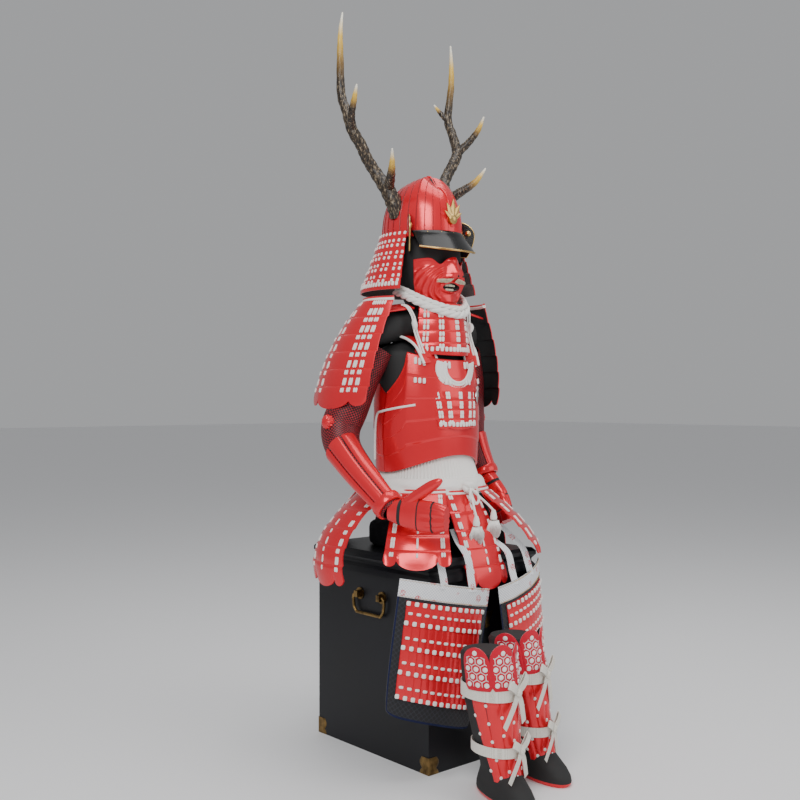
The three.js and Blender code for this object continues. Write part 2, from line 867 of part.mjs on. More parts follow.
// Pleated lacing between the cuirass and the tassets, then the sash over it.
function lacingBand() {
  const rowsOut = [];
  const rowsIn = [];
  const n = 20;
  for (const v of [0, 1]) {
    const outer = [];
    const inner = [];
    for (let i = 0; i < n; i++) {
      const t = (2 * Math.PI * i) / n;
      const z = lerp(cuirassBottom(t) + 6, 636, v);
      const a = lerp(126, 152, v);
      const b = lerp(101, 128, v);
      const f = CUIRASS.forward;
      outer.push([(a + 3) * Math.sin(t), f + (b + 3) * Math.cos(t), z]);
      inner.push([a * Math.sin(t), f + b * Math.cos(t), z]);
    }
    rowsOut.push(outer);
    rowsIn.push(inner);
  }
  return wall(rowsOut, rowsIn, true);
}

function waistSash() {
  const outer = [];
  const inner = [];
  for (const [z, grow] of [[636, 3], [656, 8], [676, 3]]) {
    const k = (676 - z) / 40;
    outer.push(ring(0, CUIRASS.forward, z, 146 + 10 * k + grow, 121 + 10 * k + grow, 2, 20));
    inner.push(ring(0, CUIRASS.forward, z, 143 + 10 * k, 118 + 10 * k, 2, 20));
  }
  return wall(outer, inner, true);
}

const SASH_CORDS = [
  { name: 'sash_cord_right', points: [[-2, 172, 646], [-8, 188, 624], [-14, 200, 604], [-16, 209, 588]] },
  { name: 'sash_cord_left', points: [[10, 172, 646], [26, 184, 628], [42, 192, 612], [50, 203, 598]] },
];

const SIDE_TIE = [
  [-110, 93, 858],
  [-134, 56, 851],
  [-143, 5, 842],
  [-142, -14, 834],
  [-145, -18, 800],
  [-147, -17, 722],
];

function sashKnot() {
  return loft([
    ring(4, 158, 636, 10, 8, 2, 12),
    ring(4, 160, 644, 19, 13, 2, 12),
    ring(4, 160, 664, 19, 13, 2, 12),
    ring(4, 158, 674, 10, 8, 2, 12),
  ]);
}

function tassel(x, f, z) {
  return loft([
    ring(x, f + 4, z - 26, 22, 13, 2, 14),
    ring(x, f + 3, z - 10, 20, 14, 2, 14),
    ring(x, f, z + 8, 14, 11, 2, 14),
    ring(x, f - 2, z + 18, 6, 6, 2, 14),
    ring(x, f - 2, z + 24, 4, 4, 2, 14),
  ]);
}

function cordTube(points, radius, steps) {
  const curve = new THREE.CatmullRomCurve3(points.map((p) => new THREE.Vector3(p[0], -p[1], p[2])));
  const shape = new THREE.Shape();
  for (let i = 0; i < 8; i++) {
    const t = (2 * Math.PI * i) / 8;
    const x = radius * Math.cos(t);
    const y = radius * Math.sin(t);
    if (i === 0) {
      shape.moveTo(x, y);
    } else {
      shape.lineTo(x, y);
    }
  }
  shape.closePath();
  const geometry = new THREE.ExtrudeGeometry(shape, { steps, bevelEnabled: false, extrudePath: curve });
  const position = geometry.getAttribute('position');
  const flat = Float32Array.from(position.array);
  const mesh = new ManifoldMesh({
    numProp: 3,
    vertProperties: flat,
    triVerts: Uint32Array.from({ length: position.count }, (_, i) => i),
  });
  mesh.merge();
  return new Manifold(mesh);
}

// Shoulder guards.
const SHOULDER = {
  az: 90,
  r0: 176,
  z0: 1116,
  r1: 258,
  z1: 860,
  w0: 60,
  w1: 104,
  s0: 24,
  s1: 30,
  belly: 14,
  rows: 6,
  cf0: 8,
  cf1: -57,
  round: true,
};

// Sleeves, forearm splints, elbow bosses and hands.
function forearmSplints(arm) {
  const path = arm.path.slice(4);
  const outer = [];
  const inner = [];
  const far = ringsAlong(path, 20, 4);
  const near = ringsAlong(path, 20, 0.6);
  for (let j = 0; j < path.length - 1; j++) {
    const pick = [];
    const under = [];
    for (let i = 0; i <= 12; i += 1) {
      const k = (i + 14) % 20;
      const ridge = i % 4 === 2 ? 0.45 : 0;
      pick.push(mix(far[j][k], near[j][k], -ridge));
      under.push(near[j][k]);
    }
    outer.push(pick);
    inner.push(under);
  }
  return wall(outer, inner, false).add(wristBand(arm));
}

function elbowBoss(arm) {
  const [x, f, z] = arm.boss;
  return rod([
    { p: [x - 12, f, z], r: 17 },
    { p: [x + 8, f, z], r: 17 },
    { p: [x + 15, f, z], r: 11 },
    { p: [x + 17, f, z], r: 4 },
  ], 10);
}

function armSleeve(arm) {
  const bore = rod(arm.path.map((k) => ({ p: k.p, r: k.r - 2.5 })), 10);
  return sleeveTube(arm.path, 10, 2.5).add(elbowBoss(arm).subtract(bore));
}

function handGuard(arm) {
  return rod(arm.hand, 8).add(rod(arm.thumb, 8)).subtract(rod(arm.hollow, 8));
}

function wristBand(arm) {
  return wall(ringsAlong(arm.band, 20), ringsAlong(arm.band, 20, -4.5), true);
}

function sided(side, solid) {
  return side === 'right' ? mirrored(solid) : solid;
}

function thighPanel(d) {
  const place = (u, v, out) => {
    const s = (u + 1) / 2;
    const top = mix(d.innerTop, d.outerTop, s);
    const bottom = mix(d.innerBottom, d.outerBottom, s);
    const p = mix(top, bottom, v);
    const swell = d.belly * (1 - u * u) + out;
    const round = 10 * Math.abs(u) ** 8 * v ** 6;
    return [p[0] + 0.17 * swell - u * round, p[1] + 0.98 * swell, p[2] + round];
  };
  return sheet(place, 6, plainStops(5), d.wall);
}

// Legs: black gaiter with its shoe, shin plates and the three lobed knee guard.
function legRing(leg, z, a, b, ahead, n = 10, power = 2) {
  const k = Math.min(Math.max((z - 60) / 270, 0), 1);
  const yaw = radians(leg.yaw);
  const cx = lerp(leg.x0, leg.x1, k);
  const cf = lerp(leg.f0, leg.f1, k);
  return ring(0, ahead, z, a, b, power, n).map((p) => [
    cx + p[0] * Math.cos(yaw) + p[1] * Math.sin(yaw),
    cf - p[0] * Math.sin(yaw) + p[1] * Math.cos(yaw),
    z,
  ]);
}

function gaiter(leg) {
  return loft([
    legRing(leg, 0, 36, 92, 24),
    legRing(leg, 12, 41, 98, 24),
    legRing(leg, 34, 38, 88, 20),
    legRing(leg, 60, 36, 56, 4),
    legRing(leg, 82, 38, 46, 0),
    legRing(leg, 130, 48, 52, 0),
    legRing(leg, 215, 57, 60, 0),
    legRing(leg, 280, 58, 58, 0),
    legRing(leg, 322, 56, 56, 0),
    legRing(leg, 330, 50, 50, 0),
  ]);
}

function legPlace(leg, levels, span) {
  const yaw = radians(leg.yaw);
  return (u, v, out) => {
    const t = radians((u * span) / 2);
    const z = smoothTable(levels, 'v', 'z', v);
    const a = smoothTable(levels, 'v', 'a', v) + out;
    const b = smoothTable(levels, 'v', 'b', v) + out;
    const k = Math.min(Math.max((z - 60) / 270, 0), 1);
    const x = a * Math.sin(t);
    const f = b * Math.cos(t);
    return [
      lerp(leg.x0, leg.x1, k) + x * Math.cos(yaw) + f * Math.sin(yaw),
      lerp(leg.f0, leg.f1, k) - x * Math.sin(yaw) + f * Math.cos(yaw),
      z,
    ];
  };
}

function shinPlates(leg) {
  const levels = [
    { v: 0, z: 282, a: 57, b: 58 },
    { v: 0.3, z: 215, a: 56, b: 60 },
    { v: 0.65, z: 130, a: 48, b: 52 },
    { v: 1, z: 48, a: 45, b: 56 },
  ];
  return sheet(legPlace(leg, levels, 190), 12, plainStops(4), 4);
}

function kneeGuard(leg) {
  const yaw = radians(leg.yaw);
  const place = (u, v, out) => {
    const t = radians(u * 82);
    const lobe = Math.abs(Math.cos(1.5 * Math.PI * u));
    const high = 322 + 30 * lobe ** 0.5;
    const low = 262 - 10 * lobe;
    const z = lerp(high, low, v);
    const k = Math.min(Math.max((z - 60) / 270, 0), 1);
    const x = (61.2 + out) * Math.sin(t);
    const f = (62.2 + out) * Math.cos(t);
    return [
      lerp(leg.x0, leg.x1, k) + x * Math.cos(yaw) + f * Math.sin(yaw),
      lerp(leg.f0, leg.f1, k) - x * Math.sin(yaw) + f * Math.cos(yaw),
      z,
    ];
  };
  return sheet(place, 12, plainStops(2), 5);
}

function buildAll() {
  add('chest_body', chestBody(), COLOR.black);
  add('chest_lid', chestLid(), COLOR.black);
  addPair('handle_plate_front', handlePlate(BAIL.front), COLOR.gold);
  addPair('handle_plate_back', handlePlate(BAIL.back), COLOR.gold);
  parts.push(...['right', 'left'].map((side) => {
    const shape = side === 'left' ? bail() : mirrored(bail());
    return { name: `bail_${side}`, shape, box: shape.boundingBox(), color: COLOR.gold, options: {} };
  }));
  add('seat_pad', seatPad(), COLOR.cloth);
  add('helmet_bowl', helmetBowl(), COLOR.lacquer);
  add('visor', visor(), COLOR.black);
  add('neck_guard', neckGuard(), COLOR.lacquer);
  addPair('turn_back', turnBackFlap(), COLOR.black);
  addPair('antler', antler(), COLOR.horn);
  add('leaf_crest', leafCrest(), COLOR.gold);
  add('face_mask', faceMask(), COLOR.lacquer);
  add('throat_guard', hangingPanel(THROAT, 8, 3, 2.5), COLOR.lacquer);
  add('neck_wrap', neckWrap(), COLOR.lace);
  add('cuirass_front', cuirassHalf(-89.6, 89.6, 14), COLOR.lacquer);
  add('cuirass_back', cuirassHalf(90.1, 269.9, 10), COLOR.lacquer);
  addPair('shoulder_strap', shoulderStrap(), COLOR.lacquer);
  add('bib_collar', bibCollar(), COLOR.lace);
  add('bib_lames', hangingPanel(BIB, 6, 3, 2.5), COLOR.lacquer);
  add('lacing_band', lacingBand(), COLOR.lace);
  for (const d of TASSETS) {
    add(d.name, hangingPanel(d, 6, 3, 3.5), COLOR.lacquer);
  }
  add('waist_sash', waistSash(), COLOR.lace);
  add('sash_knot', sashKnot(), COLOR.lace);
  add('tassel_right', tassel(-16, 211, 566), COLOR.lace);
  add('tassel_left', tassel(50, 205, 576), COLOR.lace);
  for (const side of ['right', 'left']) {
    const arm = ARMS[side];
    add(`thigh_panel_${side}`, sided(side, thighPanel(THIGH_PANELS[side])), COLOR.lacquer);
    add(`arm_sleeve_${side}`, sided(side, armSleeve(arm)), COLOR.cloth);
    add(`forearm_splints_${side}`, sided(side, forearmSplints(arm)), COLOR.lacquer);
    add(`hand_guard_${side}`, sided(side, handGuard(arm)), COLOR.lacquer);
  }
  addPair('shoulder_guard', hangingPanel(SHOULDER, 6, 3, 4), COLOR.lacquer);
  for (const leg of LEGS) {
    add(`shin_plates_${leg.side}`, shinPlates(leg), COLOR.lacquer);
    add(`knee_guard_${leg.side}`, kneeGuard(leg), COLOR.lacquer);
    add(`gaiter_${leg.side}`, gaiter(leg), COLOR.cloth);
  }
  for (const cord of SASH_CORDS) {
    add(cord.name, cordTube(cord.points, 3, 10), COLOR.lace);
  }
  add('side_tie', cordTube(SIDE_TIE, 3, 18), COLOR.lace);
  add('body_form', torsoForm().add(headForm()), COLOR.black);
}

function toMesh(part) {
  const mesh = part.shape.getMesh();
  const geometry = new THREE.BufferGeometry();
  geometry.setAttribute('position', new THREE.BufferAttribute(new Float32Array(mesh.vertProperties), 3));
  geometry.setIndex(new THREE.BufferAttribute(new Uint32Array(mesh.triVerts), 1));
  const shiny = part.color === COLOR.gold;
  const material = new THREE.MeshStandardMaterial({
    color: part.color,
    roughness: shiny ? 0.3 : 0.5,
    metalness: shiny ? 0.9 : 0.05,
  });
  material.name = part.name;
  const node = new THREE.Mesh(geometry, material);
  node.name = part.name;
  return node;
}

buildAll();

const group = new THREE.Group();
group.name = 'samurai_armour';
for (const part of parts) {
  group.add(toMesh(part));
}

export default group;
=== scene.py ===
"""Red laced armour with an antlered helmet, seated on its black storage chest."""

import logging
import math
import random
from dataclasses import dataclass, field
from enum import Enum
from typing import Callable, Sequence

import bpy
from mathutils import Matrix, Vector


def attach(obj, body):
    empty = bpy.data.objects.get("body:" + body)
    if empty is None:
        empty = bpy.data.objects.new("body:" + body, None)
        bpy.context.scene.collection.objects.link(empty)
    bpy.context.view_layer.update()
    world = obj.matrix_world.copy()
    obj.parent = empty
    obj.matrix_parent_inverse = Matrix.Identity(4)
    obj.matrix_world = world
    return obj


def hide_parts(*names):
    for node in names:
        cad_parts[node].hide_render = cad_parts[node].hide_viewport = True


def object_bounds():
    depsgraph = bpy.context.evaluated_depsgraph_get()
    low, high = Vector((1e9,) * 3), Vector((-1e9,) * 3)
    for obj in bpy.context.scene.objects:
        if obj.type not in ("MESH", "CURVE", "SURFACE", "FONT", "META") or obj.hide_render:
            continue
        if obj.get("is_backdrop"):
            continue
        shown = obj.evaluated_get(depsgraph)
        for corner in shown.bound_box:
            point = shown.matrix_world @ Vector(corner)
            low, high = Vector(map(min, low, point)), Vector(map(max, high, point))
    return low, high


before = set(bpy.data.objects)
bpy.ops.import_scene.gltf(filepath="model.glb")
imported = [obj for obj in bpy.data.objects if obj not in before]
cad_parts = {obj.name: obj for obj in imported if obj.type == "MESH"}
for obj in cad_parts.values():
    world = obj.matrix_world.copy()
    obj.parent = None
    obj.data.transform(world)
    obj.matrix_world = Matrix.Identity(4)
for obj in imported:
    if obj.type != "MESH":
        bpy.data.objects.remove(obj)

LOG = logging.getLogger("armour")
Point = tuple[float, float, float]
Place = Callable[[float, float, float], Point]
MM = 0.001


class Body(Enum):
    """Rigid bodies that the pieces ride on."""

    ARMOUR = "armour"
    RIGHT_BAIL = "right_bail"
    LEFT_BAIL = "left_bail"


class Unit(Enum):
    """Small repeated pieces that Geometry Nodes set out."""

    LACE = "lace"
    RIVET = "rivet"
    RING = "ring"
    STRAND = "strand"


def lerp(a: float, b: float, t: float) -> float:
    """Blend two numbers."""
    return a + (b - a) * t


def clamp(x: float, low: float = 0.0, high: float = 1.0) -> float:
    """Keep a number between two limits."""
    return max(low, min(high, x))


def smooth(x: float) -> float:
    """Ease from 0 to 1."""
    x = clamp(x)
    return x * x * (3 - 2 * x)


def bell(x: float, width: float) -> float:
    """Bell curve of height 1."""
    return math.exp(-((x / width) ** 2))


def table(rows: Sequence[tuple[float, ...]], x: float) -> list[float]:
    """Read a table of rows (key, value, ...) at x.

    Args:
        rows: rows with rising keys.
        x: where to read.

    Returns:
        The blended values, without the key.
    """
    if x <= rows[0][0]:
        return list(rows[0][1:])
    for low, high in zip(rows, rows[1:]):
        if x <= high[0]:
            t = (x - low[0]) / (high[0] - low[0])
            return [lerp(a, b, t) for a, b in zip(low[1:], high[1:])]
    return list(rows[-1][1:])


def metres(p: Sequence[float]) -> Vector:
    """Turn side, forward, up in millimetres into the row frame in metres."""
    return Vector((p[0] * MM, -p[1] * MM, p[2] * MM))


# ---------------------------------------------------------------- shader maths


class Sock:
    """An output socket that takes part in sums."""

    def __init__(self, graph: "Graph", socket: bpy.types.NodeSocket) -> None:
        """Wrap a socket of a graph."""
        self.graph = graph
        self.socket = socket

    def _math(self, operation: str, other: "Sock | float", swap: bool = False) -> "Sock":
        """Add a Math node between this socket and another value."""
        node = self.graph.add("ShaderNodeMath")
        node.operation = operation
        first, second = (other, self) if swap else (self, other)
        self.graph.feed(node.inputs[0], first)
        self.graph.feed(node.inputs[1], second)
        return Sock(self.graph, node.outputs[0])

    def __add__(self, other: "Sock | float") -> "Sock":
        """Sum."""
        return self._math("ADD", other)

    __radd__ = __add__

    def __mul__(self, other: "Sock | float") -> "Sock":
        """Product."""
        return self._math("MULTIPLY", other)

    __rmul__ = __mul__

    def __sub__(self, other: "Sock | float") -> "Sock":
        """Difference."""
        return self._math("SUBTRACT", other)

    def __rsub__(self, other: "Sock | float") -> "Sock":
        """Reflected difference."""
        return self._math("SUBTRACT", other, True)

    def __truediv__(self, other: "Sock | float") -> "Sock":
        """Quotient."""
        return self._math("DIVIDE", other)

    def __gt__(self, other: "Sock | float") -> "Sock":
        """One where this is larger."""
        return self._math("GREATER_THAN", other)

    def __lt__(self, other: "Sock | float") -> "Sock":
        """One where this is smaller."""
        return self._math("LESS_THAN", other)

    def sine(self) -> "Sock":
        """Sine of the value."""
        return self._math("SINE", 0.0)

    def size(self) -> "Sock":
        """Absolute value."""
        return self._math("ABSOLUTE", 0.0)

    def clipped(self) -> "Sock":
        """The value kept between 0 and 1."""
        node = self.graph.add("ShaderNodeClamp")
        self.graph.feed(node.inputs[0], self)
        return Sock(self.graph, node.outputs[0])


class Graph:
    """Node graph of one material."""

    def __init__(self, name: str) -> None:
        """Start a material with a single Principled shader."""
        self.material = bpy.data.materials.new(name)
        self.material.use_nodes = True
        self.tree = self.material.node_tree
        self.tree.nodes.clear()
        self.shader = self.add("ShaderNodeBsdfPrincipled")
        output = self.add("ShaderNodeOutputMaterial")
        self.tree.links.new(self.shader.outputs[0], output.inputs["Surface"])

    def add(self, kind: str) -> bpy.types.Node:
        """Add a node of a kind."""
        return self.tree.nodes.new(kind)

    def feed(self, target: bpy.types.NodeSocket, value: "Sock | float | Sequence[float]") -> None:
        """Link a socket to an input, or set its value."""
        if isinstance(value, Sock):
            self.tree.links.new(value.socket, target)
        else:
            target.default_value = value

    def set(self, **values: "Sock | float | Sequence[float]") -> None:
        """Set shader inputs, with underscores for spaces in their names."""
        for name, value in values.items():
            if isinstance(value, tuple) and len(value) == 3:
                value = (*value, 1.0)
            self.feed(self.shader.inputs[name.replace("_", " ")], value)

    def object_space(self) -> Sock:
        """Object coordinates in metres."""
        return Sock(self, self.add("ShaderNodeTexCoord").outputs["Object"])

    def uv(self) -> tuple[Sock, Sock]:
        """The two parts of the UV map."""
        split = self.add("ShaderNodeSeparateXYZ")
        self.tree.links.new(self.add("ShaderNodeTexCoord").outputs["UV"], split.inputs[0])
        return Sock(self, split.outputs[0]), Sock(self, split.outputs[1])

    def attribute(self, name: str) -> Sock:
        """A number kept on the mesh."""
        node = self.add("ShaderNodeAttribute")
        node.attribute_name = name
        return Sock(self, node.outputs["Fac"])

    def noise(self, scale: float, detail: float = 3.0, where: "Sock | None" = None) -> Sock:
        """Noise over the object's space."""
        node = self.add("ShaderNodeTexNoise")
        self.feed(node.inputs["Vector"], where or self.object_space())
        node.inputs["Scale"].default_value = scale
        node.inputs["Detail"].default_value = detail
        return Sock(self, node.outputs[0])

    def cells(self, scale: float, where: "Sock | None" = None, edge: bool = False) -> Sock:
        """Voronoi cells: distance from a cell's middle, or from its edge."""
        node = self.add("ShaderNodeTexVoronoi")
        if edge:
            node.feature = "DISTANCE_TO_EDGE"
        self.feed(node.inputs["Vector"], where or self.object_space())
        node.inputs["Scale"].default_value = scale
        return Sock(self, node.outputs[0])

    def ramp(self, value: Sock, *stops: tuple[float, tuple[float, float, float]]) -> Sock:
        """Colour ramp through (place, colour) stops."""
        node = self.add("ShaderNodeValToRGB")
        ramp = node.color_ramp
        while len(ramp.elements) < len(stops):
            ramp.elements.new(0.5)
        for element, (where, colour) in zip(ramp.elements, stops):
            element.position = where
            element.color = (*colour, 1.0)
        self.feed(node.inputs[0], value)
        return Sock(self, node.outputs[0])

    def mix(self, share: Sock, a: "Sock | tuple", b: "Sock | tuple") -> Sock:
        """Blend two colours."""
        node = self.add("ShaderNodeMix")
        node.data_type = "RGBA"
        self.feed(node.inputs[0], share)
        for index, value in ((6, a), (7, b)):
            if isinstance(value, tuple):
                value = (*value, 1.0)
            self.feed(node.inputs[index], value)
        return Sock(self, node.outputs[2])

    def bump(self, height: Sock, strength: float, distance: float) -> None:
        """Add relief from a height."""
        node = self.add("ShaderNodeBump")
        node.inputs["Strength"].default_value = strength
        node.inputs["Distance"].default_value = distance
        self.feed(node.inputs["Height"], height)
        self.tree.links.new(node.outputs[0], self.shader.inputs["Normal"])


# -------------------------------------------------------------------- finishes


@dataclass(frozen=True)
class Finish:
    """A surface finish; each kind paints its own graph."""

    name: str = "finish"

    def paint(self, g: Graph) -> None:
        """Fill the graph."""

    def material(self) -> bpy.types.Material:
        """The finish's material, made once."""
        known = bpy.data.materials.get(self.name)
        if known:
            return known
        graph = Graph(self.name)
        self.paint(graph)
        return graph.material


@dataclass(frozen=True)
class Lacquer(Finish):
    """Glossy lacquer over shaped plates, with a faint cloudiness and fine wear."""

    colour: tuple[float, float, float] = (0.74, 0.001, 0.014)
    deep: tuple[float, float, float] = (0.56, 0.0005, 0.008)
    roughness: float = 0.3
    coat: float = 0.5

    def paint(self, g: Graph) -> None:
        """Cloudy colour, uneven gloss and a soft orange peel."""
        cloud = g.noise(9.0, 4.0)
        fine = g.noise(160.0, 2.0)
        shade = g.ramp(cloud, (0.3, self.deep), (0.62, self.colour))
        g.set(Base_Color=shade, Roughness=self.roughness + 0.14 * (fine - 0.5) + 0.08 * (cloud - 0.5))
        g.set(Coat_Weight=self.coat, Coat_Roughness=0.14, Specular_IOR_Level=0.4)
        g.bump(g.noise(420.0, 1.0) * 0.3 + cloud, 0.12, 0.0012)


@dataclass(frozen=True)
class Weave(Finish):
    """Woven cloth, plain over and under, drawn from the UV map in millimetres."""

    colour: tuple[float, float, float] = (0.004, 0.004, 0.006)
    light: tuple[float, float, float] = (0.012, 0.012, 0.017)
    pitch: float = 1.1
    roughness: float = 0.85
    sheen: float = 0.03

    def paint(self, g: Graph) -> None:
        """Threads crossing each other with a little unevenness."""
        across, along = g.uv()
        turns = 2 * math.pi / self.pitch
        threads = (across * turns).sine() * (along * turns).sine()
        height = threads * 0.5 + 0.5
        shade = g.ramp(height * 0.7 + g.noise(60.0) * 0.4, (0.25, self.colour), (0.8, self.light))
        g.set(Base_Color=shade, Roughness=self.roughness, Sheen_Weight=self.sheen, Specular_IOR_Level=0.2)
        g.bump(height, 0.5, 0.0005)


@dataclass(frozen=True)
class Lace(Finish):
    """Braided cord or ribbon with slanting threads."""

    colour: tuple[float, float, float] = (0.86, 0.85, 0.82)
    shade: tuple[float, float, float] = (0.6, 0.58, 0.55)

    def paint(self, g: Graph) -> None:
        """Fine slanting threads that show as light relief."""
        split = g.add("ShaderNodeSeparateXYZ")
        g.feed(split.inputs[0], g.object_space())
        x, y, z = (Sock(g, split.outputs[i]) for i in range(3))
        slant = ((x + z) * 3200.0).sine() * ((y - z) * 3200.0).sine()
        rough = g.noise(500.0, 2.0)
        shade = g.ramp(slant * 0.35 + rough * 0.6 + 0.2, (0.15, self.shade), (0.55, self.colour))
        g.set(Base_Color=shade, Roughness=0.8, Sheen_Weight=0.3, Specular_IOR_Level=0.3)
        g.bump(slant * 0.5 + rough, 0.35, 0.0006)


@dataclass(frozen=True)
class Metal(Finish):
    """Plated metal with dull patches and fine scratches."""

    colour: tuple[float, float, float] = (0.72, 0.48, 0.17)
    dull: tuple[float, float, float] = (0.42, 0.25, 0.08)
    roughness: float = 0.32

    def paint(self, g: Graph) -> None:
        """Tarnish in the colour and in the gloss."""
        patch = g.noise(45.0, 5.0)
        g.set(Base_Color=g.ramp(patch, (0.32, self.dull), (0.6, self.colour)), Metallic=1.0)
        g.set(Roughness=self.roughness + 0.3 * (patch - 0.5))
        g.bump(g.noise(700.0, 2.0), 0.12, 0.0004)


@dataclass(frozen=True)
class Horn(Finish):
    """Antler: speckled grey brown that turns yellow and white at the tips."""

    def paint(self, g: Graph) -> None:
        """Furrowed, speckled bark and pale polished tips."""
        tip = g.attribute("tone")
        split = g.add("ShaderNodeSeparateXYZ")
        g.feed(split.inputs[0], g.object_space())
        stretched = g.add("ShaderNodeCombineXYZ")
        for index, factor in enumerate((1.0, 1.0, 0.35)):
            g.feed(stretched.inputs[index], Sock(g, split.outputs[index]) * factor)
        where = Sock(g, stretched.outputs[0])
        speckle = g.noise(260.0, 4.0, where)
        bark = g.ramp(
            speckle, (0.42, (0.01, 0.006, 0.004)), (0.56, (0.06, 0.04, 0.022)), (0.7, (0.34, 0.27, 0.18))
        )
        pale = g.ramp(tip, (0.6, (0.3, 0.17, 0.04)), (0.78, (0.74, 0.47, 0.06)), (0.94, (0.86, 0.82, 0.7)))
        share = ((tip - 0.52) * 7.0).clipped()
        g.set(Base_Color=g.mix(share, bark, pale), Roughness=0.42 + 0.3 * (speckle - 0.5))
        g.set(Specular_IOR_Level=0.5)
        g.bump(speckle, 0.7, 0.0016)


@dataclass(frozen=True)
class Mail(Finish):
    """Linked red rings over black cloth, from the UV map in millimetres."""

    pitch: float = 8.5

    def paint(self, g: Graph) -> None:
        """Rings as crossed waves, raised and glossy over the cloth."""
        across, along = g.uv()
        turns = 2 * math.pi / self.pitch
        first = (((across + along) * (turns * 0.5)).sine()).size()
        second = (((across - along) * (turns * 0.5)).sine()).size()
        hole = ((first * second - 0.17) * 7.0).clipped()
        grain = g.noise(240.0, 2.0)
        wire = g.ramp(grain, (0.3, (0.3, 0.005, 0.012)), (0.7, (0.6, 0.02, 0.04)))
        g.set(Base_Color=g.mix(hole, wire, (0.004, 0.003, 0.004)), Roughness=0.5)
        g.bump(1.0 - hole, 0.8, 0.0016)


@dataclass(frozen=True)
class Quilt(Finish):
    """Red cloth quilted in hexagons with white stitched lines, from the tone of the mesh."""

    ground: tuple[float, float, float] = (0.6, 0.006, 0.03)
    line: tuple[float, float, float] = (0.75, 0.6, 0.6)

    def paint(self, g: Graph) -> None:
        """White lines where the tone, the distance to a line, is small."""
        tone = g.attribute("tone")
        stitch = ((1.25 - tone) * 2.0).clipped()
        across, along = g.uv()
        thread = (across * 5.2).sine() * (along * 5.2).sine()
        g.set(Base_Color=g.mix(stitch, self.ground, self.line), Roughness=0.75 + 0.08 * thread)
        g.set(Sheen_Weight=0.1, Specular_IOR_Level=0.25)
        g.bump(thread * 0.5 + stitch, 0.4, 0.0006)


@dataclass(frozen=True)
class Figured(Finish):
    """White figured band with faint red sprigs, from the UV map in millimetres."""

    def paint(self, g: Graph) -> None:
        """Soft grey damask with scattered red sprigs."""
        across, along = g.uv()
        damask = (across * 0.9).sine() * (along * 0.9).sine() + 0.6 * g.noise(90.0, 4.0)
        white = g.ramp(damask, (0.1, (0.62, 0.64, 0.68)), (0.6, (0.86, 0.86, 0.87)))
        sprig = (g.cells(34.0) < 0.3) * (g.noise(420.0, 2.0) > 0.5)
        g.set(Base_Color=g.mix(sprig, white, (0.62, 0.12, 0.14)), Roughness=0.7)
        g.bump(damask, 0.3, 0.0005)


@dataclass(frozen=True)
class Brocade(Finish):
    """Figured cloth with small tiled lozenges, from the UV map in millimetres."""

    ground: tuple[float, float, float] = (0.004, 0.004, 0.006)
    figure: tuple[float, float, float] = (0.014, 0.015, 0.022)
    pitch: float = 13.0
    edge: float = 0.35

    def paint(self, g: Graph) -> None:
        """Lozenges with a darker ground and raised threads."""
        across, along = g.uv()
        turns = 2 * math.pi / self.pitch
        wave = (across * turns).sine() + (along * turns).sine()
        lozenge = ((wave.size() - self.edge) * 5.0).clipped()
        thread = ((across * 4.2).sine() * (along * 4.2).sine()) * 0.5 + 0.5
        g.set(Base_Color=g.mix(lozenge, self.figure, self.ground), Roughness=0.7, Sheen_Weight=0.2)
        g.bump(lozenge * -0.6 + thread * 0.5, 0.5, 0.0008)


@dataclass(frozen=True)
class ChestLacquer(Finish):
    """Black lacquered wood with a fine leathery grain."""

    def paint(self, g: Graph) -> None:
        """Dark ground, faint cloud and pebbled relief."""
        cloud = g.noise(5.0, 5.0)
        pebble = g.cells(420.0)
        g.set(Base_Color=g.ramp(cloud, (0.3, (0.002, 0.002, 0.003)), (0.75, (0.006, 0.006, 0.009))))
        g.set(
            Roughness=0.38 + 0.18 * (cloud - 0.5) + 0.1 * pebble, Coat_Weight=0.08, Coat_Roughness=0.3,
            Specular_IOR_Level=0.3
        )
        g.bump(pebble, 0.25, 0.0006)


RED = Lacquer("lacquer_red")
# darker copy of the red lacquer: painted shade for the seams between the helmet bowl's plates
RED_SEAM_SHADE = Lacquer("lacquer_red_seam_shade", (0.3, 0.002, 0.006), (0.16, 0.001, 0.003), 0.5, 0.1)
BLACK = Lacquer("lacquer_black", (0.012, 0.012, 0.014), (0.004, 0.004, 0.005), 0.22, 0.8)
LACE = Lace("lace_white")
RIBBON = Lace("ribbon_off_white", (0.8, 0.77, 0.69), (0.52, 0.49, 0.42))
CREAM = Lace("hair_cream", (0.82, 0.74, 0.55), (0.5, 0.42, 0.28))
CLOTH = Weave("cloth_black")
PADDING = Weave("cloth_seat", (0.004, 0.004, 0.006), (0.011, 0.011, 0.015), 1.6)
GREY_CLOTH = Weave("cloth_grey", (0.12, 0.12, 0.12), (0.25, 0.24, 0.23), 1.2)
GILT = Metal("gilt")
BRASS = Metal("brass_aged", (0.3, 0.19, 0.07), (0.08, 0.05, 0.02), 0.42)
SILVER = Metal("silver", (0.72, 0.72, 0.7), (0.42, 0.42, 0.41), 0.3)
HORN = Horn("antler_horn")
MAIL = Mail("mail_rings")
BROCADE = Brocade("brocade_black")
FIGURED = Figured("band_white_figured")
QUILT = Quilt("knee_quilting")
NAVY = Weave("piping_navy", (0.006, 0.008, 0.03), (0.015, 0.02, 0.07))
IVORY = Lacquer("tooth_ivory", (0.74, 0.68, 0.5), (0.55, 0.48, 0.32), 0.35, 0.4)
CHEST = ChestLacquer("chest_black")


# ---------------------------------------------------------------------- meshes


